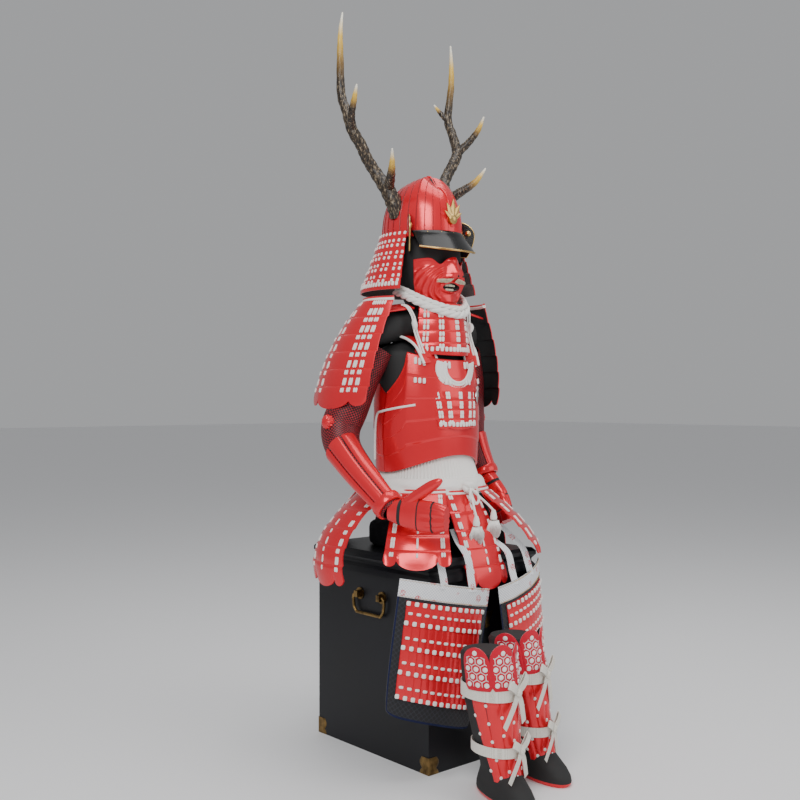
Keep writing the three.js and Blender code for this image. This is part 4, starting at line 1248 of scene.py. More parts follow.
@dataclass(frozen=True)
class Helmet:
    """Ribbed bowl with a visor, a neck guard, flaps, antlers and a crest."""

    ribs: int = 30
    guard: Wrap = Wrap(
        ((0, 96, 98, -10, 1294), (0.5, 122, 126, -12, 1216), (1, 146, 156, -15, 1143)), 236, 180
    )

    def bowl_point(self, turn: float, lift: float, inset: float) -> Point:
        """Point of the bowl."""
        s = lift * math.pi / 2
        base = -5 + (110 - inset) * math.cos(turn)
        comb = -13 + (62 - inset) * math.cos(turn)
        top = table(COMB, comb)[0] - inset
        x = (95 - inset) * math.sin(turn) * max(math.cos(s) ** 0.85, 0.03)
        return (x, lerp(base, comb, 1 - math.cos(s)), lerp(1286, top, math.sin(s) ** 0.9))

    def bowl(self) -> None:
        """Ribbed plates with painted shade in the seams between them, closed along the comb."""
        n = self.ribs * 10
        rings = []
        for j in range(25):
            lift = j / 24
            fade = clamp((1 - lift) * 4)
            row = []
            for i in range(n):
                rib = 0.6 + 1.5 * (i % 10) / 9
                row.append(self.bowl_point(2 * math.pi * (i + 5) / n, lift, -rib * fade))
            rings.append(row)
        shape = Shape()
        index = shape.grid(rings, True)
        # the step face at every tenth column, where one plate meets the next, takes the darker red as painted
        # seam shade
        shape.marks = [2 if k % 10 == 9 and k // n < 23 else 0 for k in range(len(shape.marks))]
        shape.fan(list(reversed(index[0])), 1)
        top = index[-1]
        for i in range(n // 2):
            a, b, c, d = top[i], top[i + 1], top[(n - i - 1) % n], top[(n - i) % n]
            shape.face(
                (a, b, c, d) if len({a, b, c, d}) == 4 else tuple(dict.fromkeys((a, b, c, d))),
                [(0, 0)] * len({a, b, c, d})
            )
        shape.merge(wall(
            [
                ring(0, -5, z, 98 + g, 113 + g, 2, 72) for z,
                g in ((1278, -1), (1280, 0), (1286, 0), (1288, -1))
            ],
            [ring(0, -5, z, 92, 107, 2, 72) for z in (1278, 1280, 1286, 1288)],
            True,
        ))
        replace(shape.build("helmet_bowl_ribs", RED, CLOTH, RED_SEAM_SHADE), "lacquer_red", "helmet_bowl")
        path = [self.bowl_point(0.0, 1 - k / 14, -2.5) for k in range(14)]
        back = [self.bowl_point(math.pi, k / 14, -2.5) for k in range(15)]
        spine = [(0.0, f, z, 3.0) for _, f, z in reversed(path)]
        crest = [(0.0, f, table(COMB, f)[0] + 2.0, 3.0) for f in (40, 25, 5, -20, -45, -62)]
        rear = [(0.0, f, z, 3.0) for _, f, z in reversed(back)][1:]
        rod(spine + crest + rear, 10, 60).build("comb_rim", RED)
        sites = []
        for i in range(self.ribs):
            turn = 2 * math.pi * (i + 0.5) / self.ribs
            for lift in (0.06, 0.24, 0.42, 0.6):
                p = Vector(self.bowl_point(turn, lift, -0.6))
                away = Vector(self.bowl_point(turn, lift, -3.0)) - p
                sites.append(Site(p, away, Vector((0, 0.3, 1)), (3.2, 3.2, 2.6)))
        set_out("bowl_rivets", sites, Unit.RIVET, RED)

    def visor_place(self, u: float, v: float, out: float) -> Point:
        """Point of the visor."""
        t = math.radians(u * 60)
        x = lerp(97.6, 106, v) * math.sin(t)
        f = lerp(-5, 32, v) + lerp(112.6, 112, v) * math.cos(t) + 3 * (1 - abs(u)) * v
        return (x, f + 0.3 * out, lerp(1289, 1237, v) + 10 * u * u * v + 0.95 * out)

    def visor(self) -> None:
        """Black visor with a gilt rim and rivets."""
        us = [-1 + i / 24 for i in range(49)]
        vs = [j / 10 for j in range(11)]
        outer = [[self.visor_place(u, v, 3 + 2.2 * bell(v - 0.12, 0.08)) for u in us] for v in vs]
        inner = [[self.visor_place(u, v, 0) for u in us] for v in vs]
        replace(wall(outer, inner, False, 1).build("visor_plate", BLACK, RED), "lacquer_black", "visor")
        rim = [(*self.visor_place(-1 + i / 30, 1.0, 1.5), 2.6) for i in range(61)]
        loft(path_rings(rim, 10)).build("visor_rim", GILT)
        spots = [site_on(self.visor_place, u / 3, 0.1, 3.4, (4.0, 4.0, 3.0)) for u in range(-2, 3)]
        set_out("visor_rivets", spots, Unit.RIVET, GILT)

    def neck_guard(self) -> None:
        """Five lames laced closely at the front edges and in full at the bottom."""
        outer, inner = [], []
        us = [-1 + i / 40 for i in range(81)]
        for k in range(5):
            for t in (0.015, 0.05, 0.25, 0.5, 0.75, 0.9, 0.97):
                v = (k + t) / 5
                out = 4 * (1 - t) + 1.0 * math.sin(math.pi * t) - (0.9 if t < 0.04 else 0)
                outer.append([self.guard.place(u, v, out + 3) for u in us])
                inner.append([self.guard.place(u, v, out) for u in us])
        replace(
            wall(outer, inner, False, 1).build("neck_guard_lames", RED, GREY_CLOTH), "lacquer_red",
            "neck_guard"
        )
        sites = []
        for k in range(5):
            v = k / 5
            across = lerp(230, 330, v)
            for i in range(15):
                u = -0.95 + 1.9 * i / 14
                for at in (u - 8.0 / across, u + 8.0 / across):
                    sites.append(site_on(self.guard.place, at, v + 0.042, 7.3, (6.4, 8.0, 2.4), 8.0))
                    if k:
                        sites.append(site_on(self.guard.place, at, v - 0.042, 4.6, (6.4, 8.0, 2.6), 8.0))
        for i in range(60):
            sites.append(site_on(self.guard.place, -0.97 + 1.94 * i / 59, 0.9, 6.0, (6.8, 11.0, 2.6)))
        set_out("neck_guard_laces", sites, Unit.LACE, LACE)

    def flap(self, mirror: bool, name: str) -> None:
        """Turned back flap with a gilt rim and a boss."""
        top, low = (83.0, 43.0, 1333.0), (86.0, 46.0, 1242.0)
        reach = Vector((26.0, 31.5, -5.0))
        push = Vector((3.2, -2.7, 0))
        rows = []
        for j in range(33):
            t = j / 32
            spread = math.sqrt(
                max(1 - (1 - t / 0.34) ** 2, 0.0)
            ) if t < 0.34 else 1 - 0.55 * ((t - 0.34) / 0.66) ** 1.7
            inner = Vector([lerp(a, b, t) for a, b in zip(top, low)])
            rows.append([tuple(inner + reach * (max(spread, 0.08) * i / 8)) for i in range(9)])
        back = [[tuple(Vector(p) + push) for p in row] for row in rows]
        plate = wall(rows, back)
        half = push * 0.5
        line = [Vector(row[-1]) + half for row in rows] + [Vector(row[0]) + half for row in reversed(rows)]
        rim = loft(path_rings([(*p, 1.7) for p in line], 8))
        middle = Vector(rows[10][5])
        boss = rod([(*(middle - push * k), r) for k, r in ((-0.5, 7), (0.4, 7), (0.8, 5), (1.1, 1.5))], 20)
        rim.merge(boss)
        if mirror:
            plate, rim = plate.mirrored(), rim.mirrored()
        replace(plate.build(name + "_plate", BLACK), "lacquer_black", name)
        rim.build(name + "_rim", GILT)

    def antler(self, mirror: bool, name: str) -> None:
        """Branching antler whose tone rises to the tips."""
        shape = Shape()
        for number, (path, tip_from) in enumerate(ANTLER):
            line = curve(path, 12 * len(path))
            rings = path_rings(line, 16)
            knobs = random.Random(40 + number)
            for j, loop in enumerate(rings):
                centre = Vector(line[j][:3])
                for i, p in enumerate(loop):
                    bump = 1 + 0.05 * math.sin(j * 0.9 + i * 1.7) + 0.035 * (knobs.random() - 0.5)
                    loop[i] = tuple(centre + (Vector(p) - centre) * bump)
            start = len(shape.points)
            shape.merge(loft(rings))
            for j in range(len(rings)):
                share = j / (len(rings) - 1)
                tone = clamp((share - tip_from) / (1 - tip_from))
                for i in range(16):
                    shape.tones[start + j * 16 + i] = tone
        shape.merge(rod([(70, -5, 1318, 13), (82, -6, 1336, 15)], 16))
        if mirror:
            shape = shape.mirrored()
        replace(shape.build(name + "_branches", HORN), "horn", name)

    def crest(self) -> None:
        """Plain boss with five leaves."""
        shape = rod([(0, 103, 1322, 13), (0, 113, 1322, 13), (0, 116, 1322, 10), (0, 119, 1322, 3)], 28)
        for lean, length in ((-58, 34), (-30, 44), (0, 50), (30, 44), (58, 34)):
            shape.merge(
                leaf(
                    Vector((0, 112, 1322)),
                    Vector((math.sin(math.radians(lean)), 0, math.cos(math.radians(lean)))),
                    Vector((0, 1, 0)), length
                )
            )
        replace(shape.build("leaf_crest_gilt", GILT), "brass", "leaf_crest")

    def build(self) -> None:
        """Make every part of the helmet."""
        self.bowl()
        self.visor()
        self.neck_guard()
        for mirror, side in ((True, "right"), (False, "left")):
            self.flap(mirror, "turn_back_" + side)
            self.antler(mirror, "antler_" + side)
        self.crest()


def leaf(root: Vector, along: Vector, normal: Vector, length: float, wide: float = 0.34) -> Shape:
    """A pointed leaf with a raised middle vein."""
    side = along.cross(normal).normalized()
    outer, inner = [], []
    for j in range(13):
        t = j / 12
        half = length * wide * 0.5 * math.sin(math.pi * (0.04 + 0.95 * t) ** 0.8)
        centre = root + along * (length * t)
        row, back = [], []
        for i in range(9):
            u = -1 + i / 4
            lift = 2.2 * (1 - abs(u)) * (1 - t) + 0.8
            row.append(tuple(centre + side * (half * u) + normal * lift))
            back.append(tuple(centre + side * (half * u) - normal * 1.2))
        outer.append(row)
        inner.append(back)
    return wall(outer, inner)


ANTLER = (
    ((
        (81, -6, 1330, 19), (88, -8, 1362, 22), (104, -19, 1400, 19), (118, -47, 1445, 15.5),
        (142, -56, 1482, 14.5), (160, -55, 1510, 14.5), (183, -63, 1548, 14), (186, -84, 1600, 12),
        (187, -103, 1648, 11), (194, -98, 1738, 8.5), (194, -97, 1800, 5.5), (189, -95, 1850, 2),
    ), 0.5),
    (((103, -19, 1400, 14), (120, 10, 1418, 12), (144, 45, 1444, 8), (162, 67, 1480, 2)), 0.0),
    (((183, -63, 1546, 12), (204, -40, 1574, 9.5), (216, -14, 1606, 7), (221, 3, 1640, 2)), 0.0),
    (((185, -103, 1646, 9), (172, -116, 1664, 6.5), (159, -129, 1688, 2)), 0.0),
)


# --------------------------------------------------------------- mask and neck


@dataclass(frozen=True)
class Mask:
    """Half mask with a nose, an open mouth, a moustache and wrinkled cheeks."""

    def place(self, u: float, v: float, out: float) -> Point:
        """Point of the mask before its relief."""
        t = math.radians(u * 72)
        dip = 17 * bell(abs(u) - 0.34, 0.15)
        z = lerp(1226 - 6 * abs(u) ** 1.5 - dip, 1104 + 26 * u * u, v)
        narrow = table(((1100, 0.66), (1126, 0.86), (1160, 0.98), (1240, 1)), z)[0]
        x = 80 * narrow * math.sin(t)
        bridge = table(((1166, 0), (1176, 16), (1186, 26), (1212, 13), (1240, 3)), z)[0]
        nose = bridge * bell(x, 14)
        chin = 12 * bell(z - 1112, 14) * bell(x, 34)
        f = 26 + 80 * narrow * math.cos(t) + nose + chin
        return (x + out * math.sin(t), f + out * math.cos(t), z)

    def relief(self, x: float, z: float) -> float:
        """Wrinkles, cheeks, lips, the wings of the nose and the mouth's hollow."""
        side = abs(x)
        away = math.hypot((side - 46) / 30, (z - 1172) / 26)
        cheek = 5.5 * bell(away, 0.8)
        ridge = 2.6 * math.sin(0.62 * math.hypot(side - 8, z - 1150) + 0.4) * smooth((side - 22) / 10)
        lip = 5.0 * bell(math.hypot(x / 26, (z - 1151) / 12) - 1, 0.22)
        mouth = -11.0 if math.hypot(x / 24, (z - 1151) / 9) < 1 else 0.0
        wings = 5.5 * bell(math.hypot((side - 13) / 7.5, (z - 1176) / 7), 0.8)
        brow = 3.5 * bell(math.hypot((side - 12) / 10, (z - 1222) / 12), 0.9)
        return cheek + ridge * smooth((1206 - z) / 14) + lip + mouth + wings + brow

    def body(self) -> Shape:
        """The mask with its relief; the mouth's hollow is black, painted shade for the dark of the open
        mouth.
        """
        outer, inner = [], []
        for j in range(73):
            row, back = [], []
            for i in range(97):
                u, v = -1 + i / 48, j / 72
                x, _, z = self.place(u, v, 0)
                rise = self.relief(x, z)
                edge = smooth((1 - abs(u)) * 12) * smooth((1 - v) * 14) * smooth(v * 14)
                row.append(self.place(u, v, 2.5 + rise * edge + 1.2 * (1 - edge)))
                back.append(self.place(u, v, min(0.0, rise)))
            outer.append(row)
            inner.append(back)
        shape = wall(outer, inner, False, 1)
        # faces inside the mouth take the black finish: painted shade in the open mouth
        for k in range(72 * 96):
            j, i = divmod(k, 96)
            x, _, z = self.place(-1 + (i + 0.5) / 48, (j + 0.5) / 72, 0)
            if math.hypot(x / 25, (z - 1151) / 10) < 1:
                shape.marks[k] = 1
        return shape

    def surface(self, x: float, z: float, out: float) -> Vector:
        """Point on the mask over a place in its front view."""
        best, spot = 1e9, (0.0, 0.0)
        for i in range(-48, 49):
            u = i / 48
            top, bottom = self.place(u, 0, 0)[2], self.place(u, 1, 0)[2]
            v = clamp((z - top) / (bottom - top))
            p = self.place(u, v, 0)
            gap = abs(p[0] - x)
            if gap < best:
                best, spot = gap, (u, v)
        return Vector(self.place(spot[0], spot[1], out))

    def hair(self) -> None:
        """Moustache of cream strands that fall to both sides of the mouth."""
        strands = random.Random(7)
        sites = []
        for side in (-1, 1):
            for _ in range(210):
                t = strands.random()
                x = side * (1 + 25 * t)
                z = 1169 - 1.5 * t + strands.uniform(-4.0, 4.0)
                lean = side * (1.6 + 1.4 * t) + strands.uniform(-0.16, 0.16)
                along = Vector((lean, -0.2 - 0.9 * t, -0.34)).normalized()
                p = self.surface(x, z, 6.5 + strands.uniform(-1.0, 1.5)) + along * 5
                sites.append(Site(p, Vector((0, 1, 0)), along.cross(Vector((0, 1, 0))), (1.3, 1.3, 17.0)))
        set_out("moustache", [as_strand(s) for s in sites], Unit.STRAND, CREAM)

    def teeth(self) -> None:
        """Two rows of teeth in the mouth's hollow."""
        sites = []
        for z, count in ((1157.0, 7), (1146.0, 6)):
            for i in range(count):
                x = (i - (count - 1) / 2) * 4.8
                p = self.surface(x, z, -3.0)
                sites.append(Site(p, Vector((x / 60, 1, 0)), Vector((0, 0, 1)), (4.5, 6.0, 5.0)))
        set_out("teeth", sites, Unit.LACE, IVORY)

    def build(self) -> None:
        """Make the mask, its moustache and its teeth."""
        replace(self.body().build("mask_plate", RED, BLACK, sharp=50), "lacquer_red", "face_mask")
        self.hair()
        self.teeth()
        # black spheres on the nose: painted shade for the dark nostril holes
        nostril_shade_spots = [
            Site(
                self.surface(7.0 * s, 1176, 22), Vector((0, 1, -0.6)), Vector((0, 0, 1)), (5, 6, 4)
            ) for s in (-1, 1)
        ]
        set_out("nostril_shade_spots", nostril_shade_spots, Unit.RIVET, BLACK)


def as_strand(site: Site) -> Site:
    """Turn a site so that the strand's own long way, its height, follows the lie."""
    lie = site.normal.cross(site.along).normalized()
    return Site(site.at, lie, site.normal, site.size)


@dataclass(frozen=True)
class NeckWrap:
    """Thick twisted white rope round the neck and the chin cord above it."""

    rope: tuple[Point, ...] = (
        (-94, 0, 1143), (-93, 38, 1129), (-78, 76, 1110), (-44, 110, 1091), (0, 125, 1082),
        (44, 110, 1091), (78, 76, 1110), (93, 38, 1129), (94, 0, 1143),
    )

    def build(self) -> None:
        """Make the rope."""
        shape = twist(self.rope, 9.5, 3, 6, 150)
        shape.merge(twist([(x * 0.97, f - 3, z + 15) for x, f, z in self.rope], 6.5, 3, 8, 150))
        replace(shape.build("neck_rope", LACE), "lace_white", "neck_wrap")


@dataclass(frozen=True)
class Shoulders:
    """Black padded yoke with a red wing and white ties on each shoulder."""

    half: tuple[tuple[float, ...], ...] = (
        (168, 2, 1034, 28, 30), (150, 2, 1046, 40, 40), (110, 4, 1057, 47, 43), (60, 8, 1062, 50, 42),
        (0, 10, 1064, 50, 40),
    )

    def yoke(self) -> None:
        """Padded cloth from sleeve to sleeve."""
        line = [(-x, f, z, a, b) for x, f, z, a, b in self.half]
        line += [(x, f, z, a, b) for x, f, z, a, b in reversed(self.half[:-1])]
        rings = []
        for x, f, z, a, b in curve(line, 48):
            turns = [2 * math.pi * i / 40 for i in range(40)]
            fold = 1.2 * math.sin(x * 0.14)
            rings.append([(x, f + (a + fold) * math.cos(t), z + b * math.sin(t)) for t in turns])
        obj = loft(rings).build("shoulder_yoke", CLOTH)

    def wing_place(self, u: float, v: float, out: float) -> Point:
        """Point of a wing, given as if it were the left one."""
        return (lerp(82, 166, v), 5 + 52 * u * (1 - 0.1 * v), lerp(1110, 1097, v) - 13 * u * u + out)

    def wing(self, mirror: bool, side: str) -> None:
        """Curved red plate with a rolled edge and white ties down to the strap."""
        us = [-1 + i / 16 for i in range(33)]
        vs = [j / 12 for j in range(13)]
        plate = wall(
            [[self.wing_place(u, v, 3) for u in us] for v in vs],
            [[self.wing_place(u, v, 0) for u in us] for v in vs], False, 1
        )
        edge = [(*self.wing_place(1, 1 - j / 12, 1.5), 2.6) for j in range(13)]
        plate.merge(loft(path_rings(edge, 10)))
        ties = Shape()
        for k in (0, 8):
            ties.merge(rod((
                (112 - k, 44, 1106, 2.5), (108 - k, 60, 1098, 2.5), (99 - k, 70, 1072, 2.5),
                (97 - k, 75, 1040, 2.5), (95 - k, 88, 1008, 2.5), (93 - k, 98, 984, 2.5),
            ), 10, 30))
        ties.merge(
            rod(((94, 70, 1068, 4.5), (98, 76, 1060, 7), (96, 76, 1050, 6.5), (94, 72, 1044, 4)), 12, 10)
        )
        if mirror:
            plate, ties = plate.mirrored(), ties.mirrored()
        plate.build("shoulder_wing_" + side, RED, CLOTH)
        ties.build("shoulder_ties_" + side, LACE)

    def build(self) -> None:
        """Make the yoke and both wings."""
        self.yoke()
        for mirror, side in ((True, "right"), (False, "left")):
            self.wing(mirror, side)


# ---------------------------------------------------------------------- cuirass


@dataclass(frozen=True)
class Cuirass:
    """Breast and back plates with straps, a bib and white lacing."""

    lines: int = 5

    def place(self, turn: float, v: float, out: float) -> Point:
        """Point of the wall at a turn in degrees and v down."""
        t = math.radians(turn)
        c = math.cos(t)
        top = 887 + (self.breast_rise(turn) if c > 0 else 108 * min(1, -c * 1.5) ** 1.4)
        bottom = 691 + 41 * max(c, 0) ** 2
        swell = 8 * math.sin(math.pi * v) - 6 * (1 - v)
        lean = 0 if c > 0 else -6 * (1 - v)
        a, b = 135 + swell + out, 110 + swell + out
        return (a * math.sin(t), 15 + b * c + lean, lerp(top, bottom, v))

    def breast_rise(self, turn: float) -> float:
        """How far the breast plate rises over the armholes' lowest point."""
        hole = clamp((abs(turn) - 61) / 30)
        return (83 + 20 * min(abs(turn) / 60, 1) ** 2) * (1 - hole**0.45)

    def half(self, start: float, stop: float) -> Shape:
        """One half with shallow steps between its plates and a rolled armhole edge."""
        outer, inner = [], []
        for k in range(self.lines):
            for t in (0.02, 0.06, 0.3, 0.6, 0.9, 0.97):
                v = (k + t) / self.lines
                out = 4 + 1.8 * t + (2.2 if k == 0 and t < 0.05 else 0)
                row, back = [], []
                for i in range(121):
                    turn = lerp(start, stop, i / 120)
                    edge = 1.5 * bell(min(i, 120 - i), 2.4)
                    row.append(self.place(turn, v, out + edge))
                    back.append(self.place(turn, v, 0))
                outer.append(row)
                inner.append(back)
        return wall(outer, inner, False, 1)

    def front_place(self, u: float, v: float, out: float) -> Point:
        """Place rule of the front for sites."""
        return self.place(u * 80, v, out)

    def laces(self) -> None:
        """Short white lacing in groups at the top of the breast and down its sides."""
        sites = []
        for u in (-0.62, -0.56, -0.5, -0.2, -0.14, 0.14, 0.2, 0.5, 0.56, 0.62):
            sites.append(site_on(self.front_place, u, 0.06, 7.0, (7.0, 17.0, 2.6)))
            sites.append(site_on(self.front_place, u, 0.235, 7.6, (7.0, 13.0, 2.6)))
        set_out("cuirass_laces", sites, Unit.LACE, LACE)

    def strap(self, mirror: bool, name: str) -> None:
        """Shoulder strap with a padded white edge."""
        line = curve(
            (
                (72, -84, 975), (78, -76, 1004), (84, -50, 1022), (88, -5, 1030), (84, 45, 1024),
                (78, 82, 1002), (70, 104, 960)
            ),
            40
        )
        outer, inner = [], []
        rims: list[list[tuple[float, ...]]] = [[], []]
        for j, p in enumerate(line):
            a, b = line[max(j - 1, 0)], line[min(j + 1, len(line) - 1)]
            df, dz = b[1] - a[1], b[2] - a[2]
            size = math.hypot(df, dz)
            nf, nz = -dz / size, df / size
            row, back = [], []
            for i in range(13):
                side = -24 + 4 * i
                tip = p[2] - 0.12 * max(side, 0)
                rise = 4 + 1.6 * math.cos(side / 24 * math.pi / 2)
                row.append((p[0] + side, p[1] + nf * rise, tip + nz * rise))
                back.append((p[0] + side, p[1], tip))
            outer.append(row)
            inner.append(back)
            rims[0].append((*row[0], 3.4))
            rims[1].append((*row[-1], 3.4))
        strap, rim = wall(outer, inner, False, 1), Shape()
        for points in rims:
            rim.merge(loft(path_rings(points, 10)))
        if mirror:
            strap, rim = strap.mirrored(), rim.mirrored()
        replace(strap.build(name + "_plate", RED, CLOTH), "lacquer_red", name)
        rim.build(name + "_edge", LACE)

    def collar(self) -> None:
        """White stitched collar of the bib."""
        outer, inner = [], []
        for i in range(65):
            t = math.radians(lerp(-105, 105, i / 64))
            row, back = [], []
            for k in range(13):
                r = lerp(38, 66, k / 12)
                x = r * 0.98 * math.sin(t)
                z = 951 - r * 0.92 * math.cos(t)
                f = 130 - x * x / 250 - 0.1 * (951 - z)
                quilt = 1.6 * abs(math.sin(math.pi * k / 3)) + 0.7 * abs(math.sin(math.pi * i / 2))
                row.append((x, f + 5 + quilt, z))
                back.append((x, f + 3, z))
            outer.append(row)
            inner.append(back)
        replace(wall(outer, inner).build("bib_collar_cloth", LACE), "lace_white", "bib_collar")

    def ornament(self) -> None:
        """Plain silver leaf plate with a ring at the left of the breast."""
        root = Vector(self.place(33, 0.33, 8.5))
        normal = (Vector(self.place(33, 0.33, 12)) - root).normalized()
        shape = Shape()
        for lean, length in ((0, 34), (50, 20), (-50, 20)):
            a = math.radians(lean)
            across = Vector((0, 0, -1)).cross(normal).normalized()
            along = (Vector((0, 0, -1)) * math.cos(a) + across * math.sin(a)).normalized()
            shape.merge(leaf(root, along, normal, length, 0.55))
        shape.build("breast_leaf", SILVER)
        site = Site(root + Vector((0, 1, 7)), normal, Vector((0, 0, 1)), (16, 16, 14))
        set_out("breast_ring", [site], Unit.RING, SILVER)

    def build(self) -> None:
        """Make every part of the cuirass."""
        replace(
            self.half(-89.6, 89.6).build("cuirass_front_plates", RED, CLOTH), "lacquer_red", "cuirass_front"
        )
        replace(
            self.half(90.1, 269.9).build("cuirass_back_plates", RED, CLOTH), "lacquer_red", "cuirass_back"
        )
        self.laces()
        for mirror, side in ((True, "right"), (False, "left")):
            self.strap(mirror, "shoulder_strap_" + side)
        self.collar()
        BIB.build(roll=False)
        self.ornament()


# ------------------------------------------------------------------------ waist


@dataclass(frozen=True)
class Waist:
    """Pleated lacing, sash, knot, cords and tassels."""

    pleats: int = 96

    def band(self) -> None:
        """Pleated white lacing whose top edge runs in points."""
        outer, inner = [], []
        n = self.pleats * 8
        for v in (0, 0.12, 0.3, 0.5, 0.7, 0.88, 1):
            row, back = [], []
            for i in range(n):
                t = 2 * math.pi * i / n
                c = math.cos(t)
                share = (i % 8) / 8
                point = 1 - abs(share * 2 - 1)
                z = lerp(691 + 41 * max(c, 0) ** 2 + 6 + 7 * (point - 0.5) * (1 - v) ** 2, 636, v)
                a, b = lerp(126, 152, v), lerp(101, 128, v)
                fold = 1.2 + 3.2 * point
                row.append(((a + fold) * math.sin(t), 15 + (b + fold) * c, z))
                back.append((a * math.sin(t), 15 + b * c, z))
            outer.append(row)
            inner.append(back)
        replace(wall(outer, inner, True).build("lacing_pleats", LACE, sharp=30), "lace_white", "lacing_band")

    def sash(self) -> None:
        """Rolled sash with slanting folds."""
        outer, inner = [], []
        n = 240
        for j in range(15):
            s = j / 14
            z = 635 + 42 * s
            k = (676 - z) / 40
            row, back = [], []
            for i in range(n):
                t = 2 * math.pi * i / n
                wave = math.sin(9 * t + 5.0 * s) + 0.6 * math.sin(23 * t - 8.0 * s) + 0.5 * math.sin(
                    6.28 * 2.5 * s + 3 * t
                )
                g = 2.5 + 8.0 * math.sin(math.pi * s) ** 0.6 + 1.3 * wave * math.sin(math.pi * s)
                row.append(((146 + 10 * k + g) * math.sin(t), 15 + (121 + 10 * k + g) * math.cos(t), z))
                back.append(((144 + 10 * k) * math.sin(t), 15 + (119 + 10 * k) * math.cos(t), z))
            outer.append(row)
            inner.append(back)
        replace(wall(outer, inner, True).build("sash_cloth", LACE), "lace_white", "waist_sash")

    def knot(self) -> None:
        """Soft knot with two loops."""
        shape = Shape()
        for turn, size in ((0.0, 1.0), (1.3, 0.9)):
            path = []
            for i in range(25):
                t = 2 * math.pi * i / 24
                path.append(
                    (
                        4 + 13 * size * math.cos(t + turn), 162 + 3.5 * math.sin(2 * t),
                        654 + 9.5 * size * math.sin(t), 6.4
                    )
                )
            shape.merge(loft(path_rings(path, 14)))
        for side, drop in ((-1, 0), (1, 6)):
            path = curve(
                (
                    (4, 168, 652, 3.4), (4 + side * 11, 180, 647 - drop, 3.4),
                    (4 + side * 16, 182, 630 - drop, 3.4), (4 + side * 7, 178, 622 - drop, 3.4),
                    (4, 170, 644, 3.4)
                ),
                30
            )
            shape.merge(loft(path_rings(path, 10)))
        replace(shape.build("sash_knot_loops", LACE), "lace_white", "sash_knot")

    def tassel(self, name: str, x: float, f: float, z: float, seed: int) -> bpy.types.Object:
        """Round tassel of many strands under a bound head.

        Args:
            name: node that it stands for.
            x: side.
            f: forward.
            z: height of the middle.
            seed: seed of the strands' lie.

        Returns:
            The object of the strands.
        """
        head = loft(
            [
                ring(x, f - 2, z + h, r, r, 2, 20) for h,
                r in ((24, 2), (23, 4.5), (17, 6.5), (12, 7.5), (6, 9), (0, 8))
            ]
        )
        head.build(name + "_head", LACE)
        lies = random.Random(seed)
        sites = []
        for i in range(900):
            t = lies.uniform(0, 2 * math.pi)
            spread = lies.random() ** 0.5
            top = Vector(
                (x + 7 * spread * math.sin(t), f - 2 + 6 * spread * math.cos(t), z + 12 - 6 * spread)
            )
            foot = Vector(
                (
                    x + 19 * spread * math.sin(t), f + 3 + 12 * spread * math.cos(t),
                    z - 25 + 13 * spread**3 + lies.uniform(-2, 2)
                )
            )
            lie = (foot - top)
            sites.append(
                Site((top + foot) / 2, lie, Vector((math.cos(t), math.sin(t), 0.1)), (1.9, 1.9, lie.length))
            )
        obj = replace(set_out(name + "_strands", sites, Unit.STRAND, LACE), "lace_white", name)
        return obj

    def cord(self, name: str, points: Sequence[Point]) -> None:
        """Free cord from the knot to a tassel."""
        line = curve(points, 30)
        shape = loft(path_rings([(*p, 3.0) for p in line], 12))
        obj = replace(shape.build(name + "_line", LACE), "lace_white", name)
        path = [tuple(metres(p)) for p in line]

    def build(self) -> None:
        """Make everything at the waist."""
        right = self.tassel("tassel_right", -16, 211, 566, 3)
        left = self.tassel("tassel_left", 50, 205, 576, 4)
        self.cord(
            "sash_cord_right", ((-2, 172, 646), (-8, 188, 624), (-14, 200, 604), (-16, 209, 588))
        )
        self.cord("sash_cord_left", ((10, 172, 646), (26, 184, 628), (42, 192, 612), (50, 203, 598)))
        self.band()
        self.sash()
        self.knot()


@dataclass(frozen=True)
class SideTie:
    """A thin cord that ties the cuirass at its right side."""

    path: tuple[Point, ...] = (
        (-110, 93, 858), (-134, 56, 851), (-143, 5, 842), (-142, -14, 834), (-145, -18, 800),
        (-147, -17, 722),
    )

    def build(self) -> None:
        """Make the cord."""
        line = curve(self.path, 60)
        shape = loft(path_rings([(*p, 3.0) for p in line], 12))
        obj = replace(shape.build("side_tie_cord", LACE), "lace_white", "side_tie")
        path = [tuple(metres(p)) for p in line]


# ----------------------------------------------------------------- seat and form


@dataclass(frozen=True)
class Seat:
    """Black cushion on the chest and the plain form that wears the armour."""

    def cushion(self) -> None:
        """Cushion with soft edges."""
        rings = []
        for z, a, b in (
            (497.4, 104, 114), (499, 110, 120), (505, 116, 126), (515, 118, 128), (542, 118, 128),
            (552, 116, 126), (558, 110, 120), (560, 98, 108)
        ):
            rings.append(ring(0, 0, z, a, b, 3.2, 96))
        obj = replace(loft(rings).build("seat_cushion", PADDING), "cloth_black", "seat_pad")

    def form(self) -> None:
        """Cloth covered torso and head."""
        torso = curve(
            (
                (5, 560.35, 96, 82, 2.4), (10, 760, 112, 88, 2.3), (8, 960, 140, 86, 2.3),
                (4, 1000, 128, 68, 2.2), (4, 1024, 74, 54, 2), (6, 1048, 48, 48, 2), (8, 1110, 46, 48, 2)
            ),
            36
        )
        head = curve(
            (
                (10, 1106, 46, 49, 2), (16, 1150, 68, 66, 2.4), (14, 1216, 81, 78, 2.6),
                (6, 1280, 80, 88, 2.3), (0, 1355, 70, 78, 2), (0, 1404, 46, 54, 2), (4, 1436, 16, 30, 2)
            ),
            30
        )
        shape = loft([ring(0, f, z, a, b, p, 64) for f, z, a, b, p in torso])
        shape.merge(loft([ring(0, f, z, a, b, p, 64) for f, z, a, b, p in head]))
        replace(shape.build("body_form_cloth", CLOTH), "cloth_black", "body_form")

    def build(self) -> None:
        """Make both."""
        self.cushion()
        self.form()


# ------------------------------------------------------------------------- arms


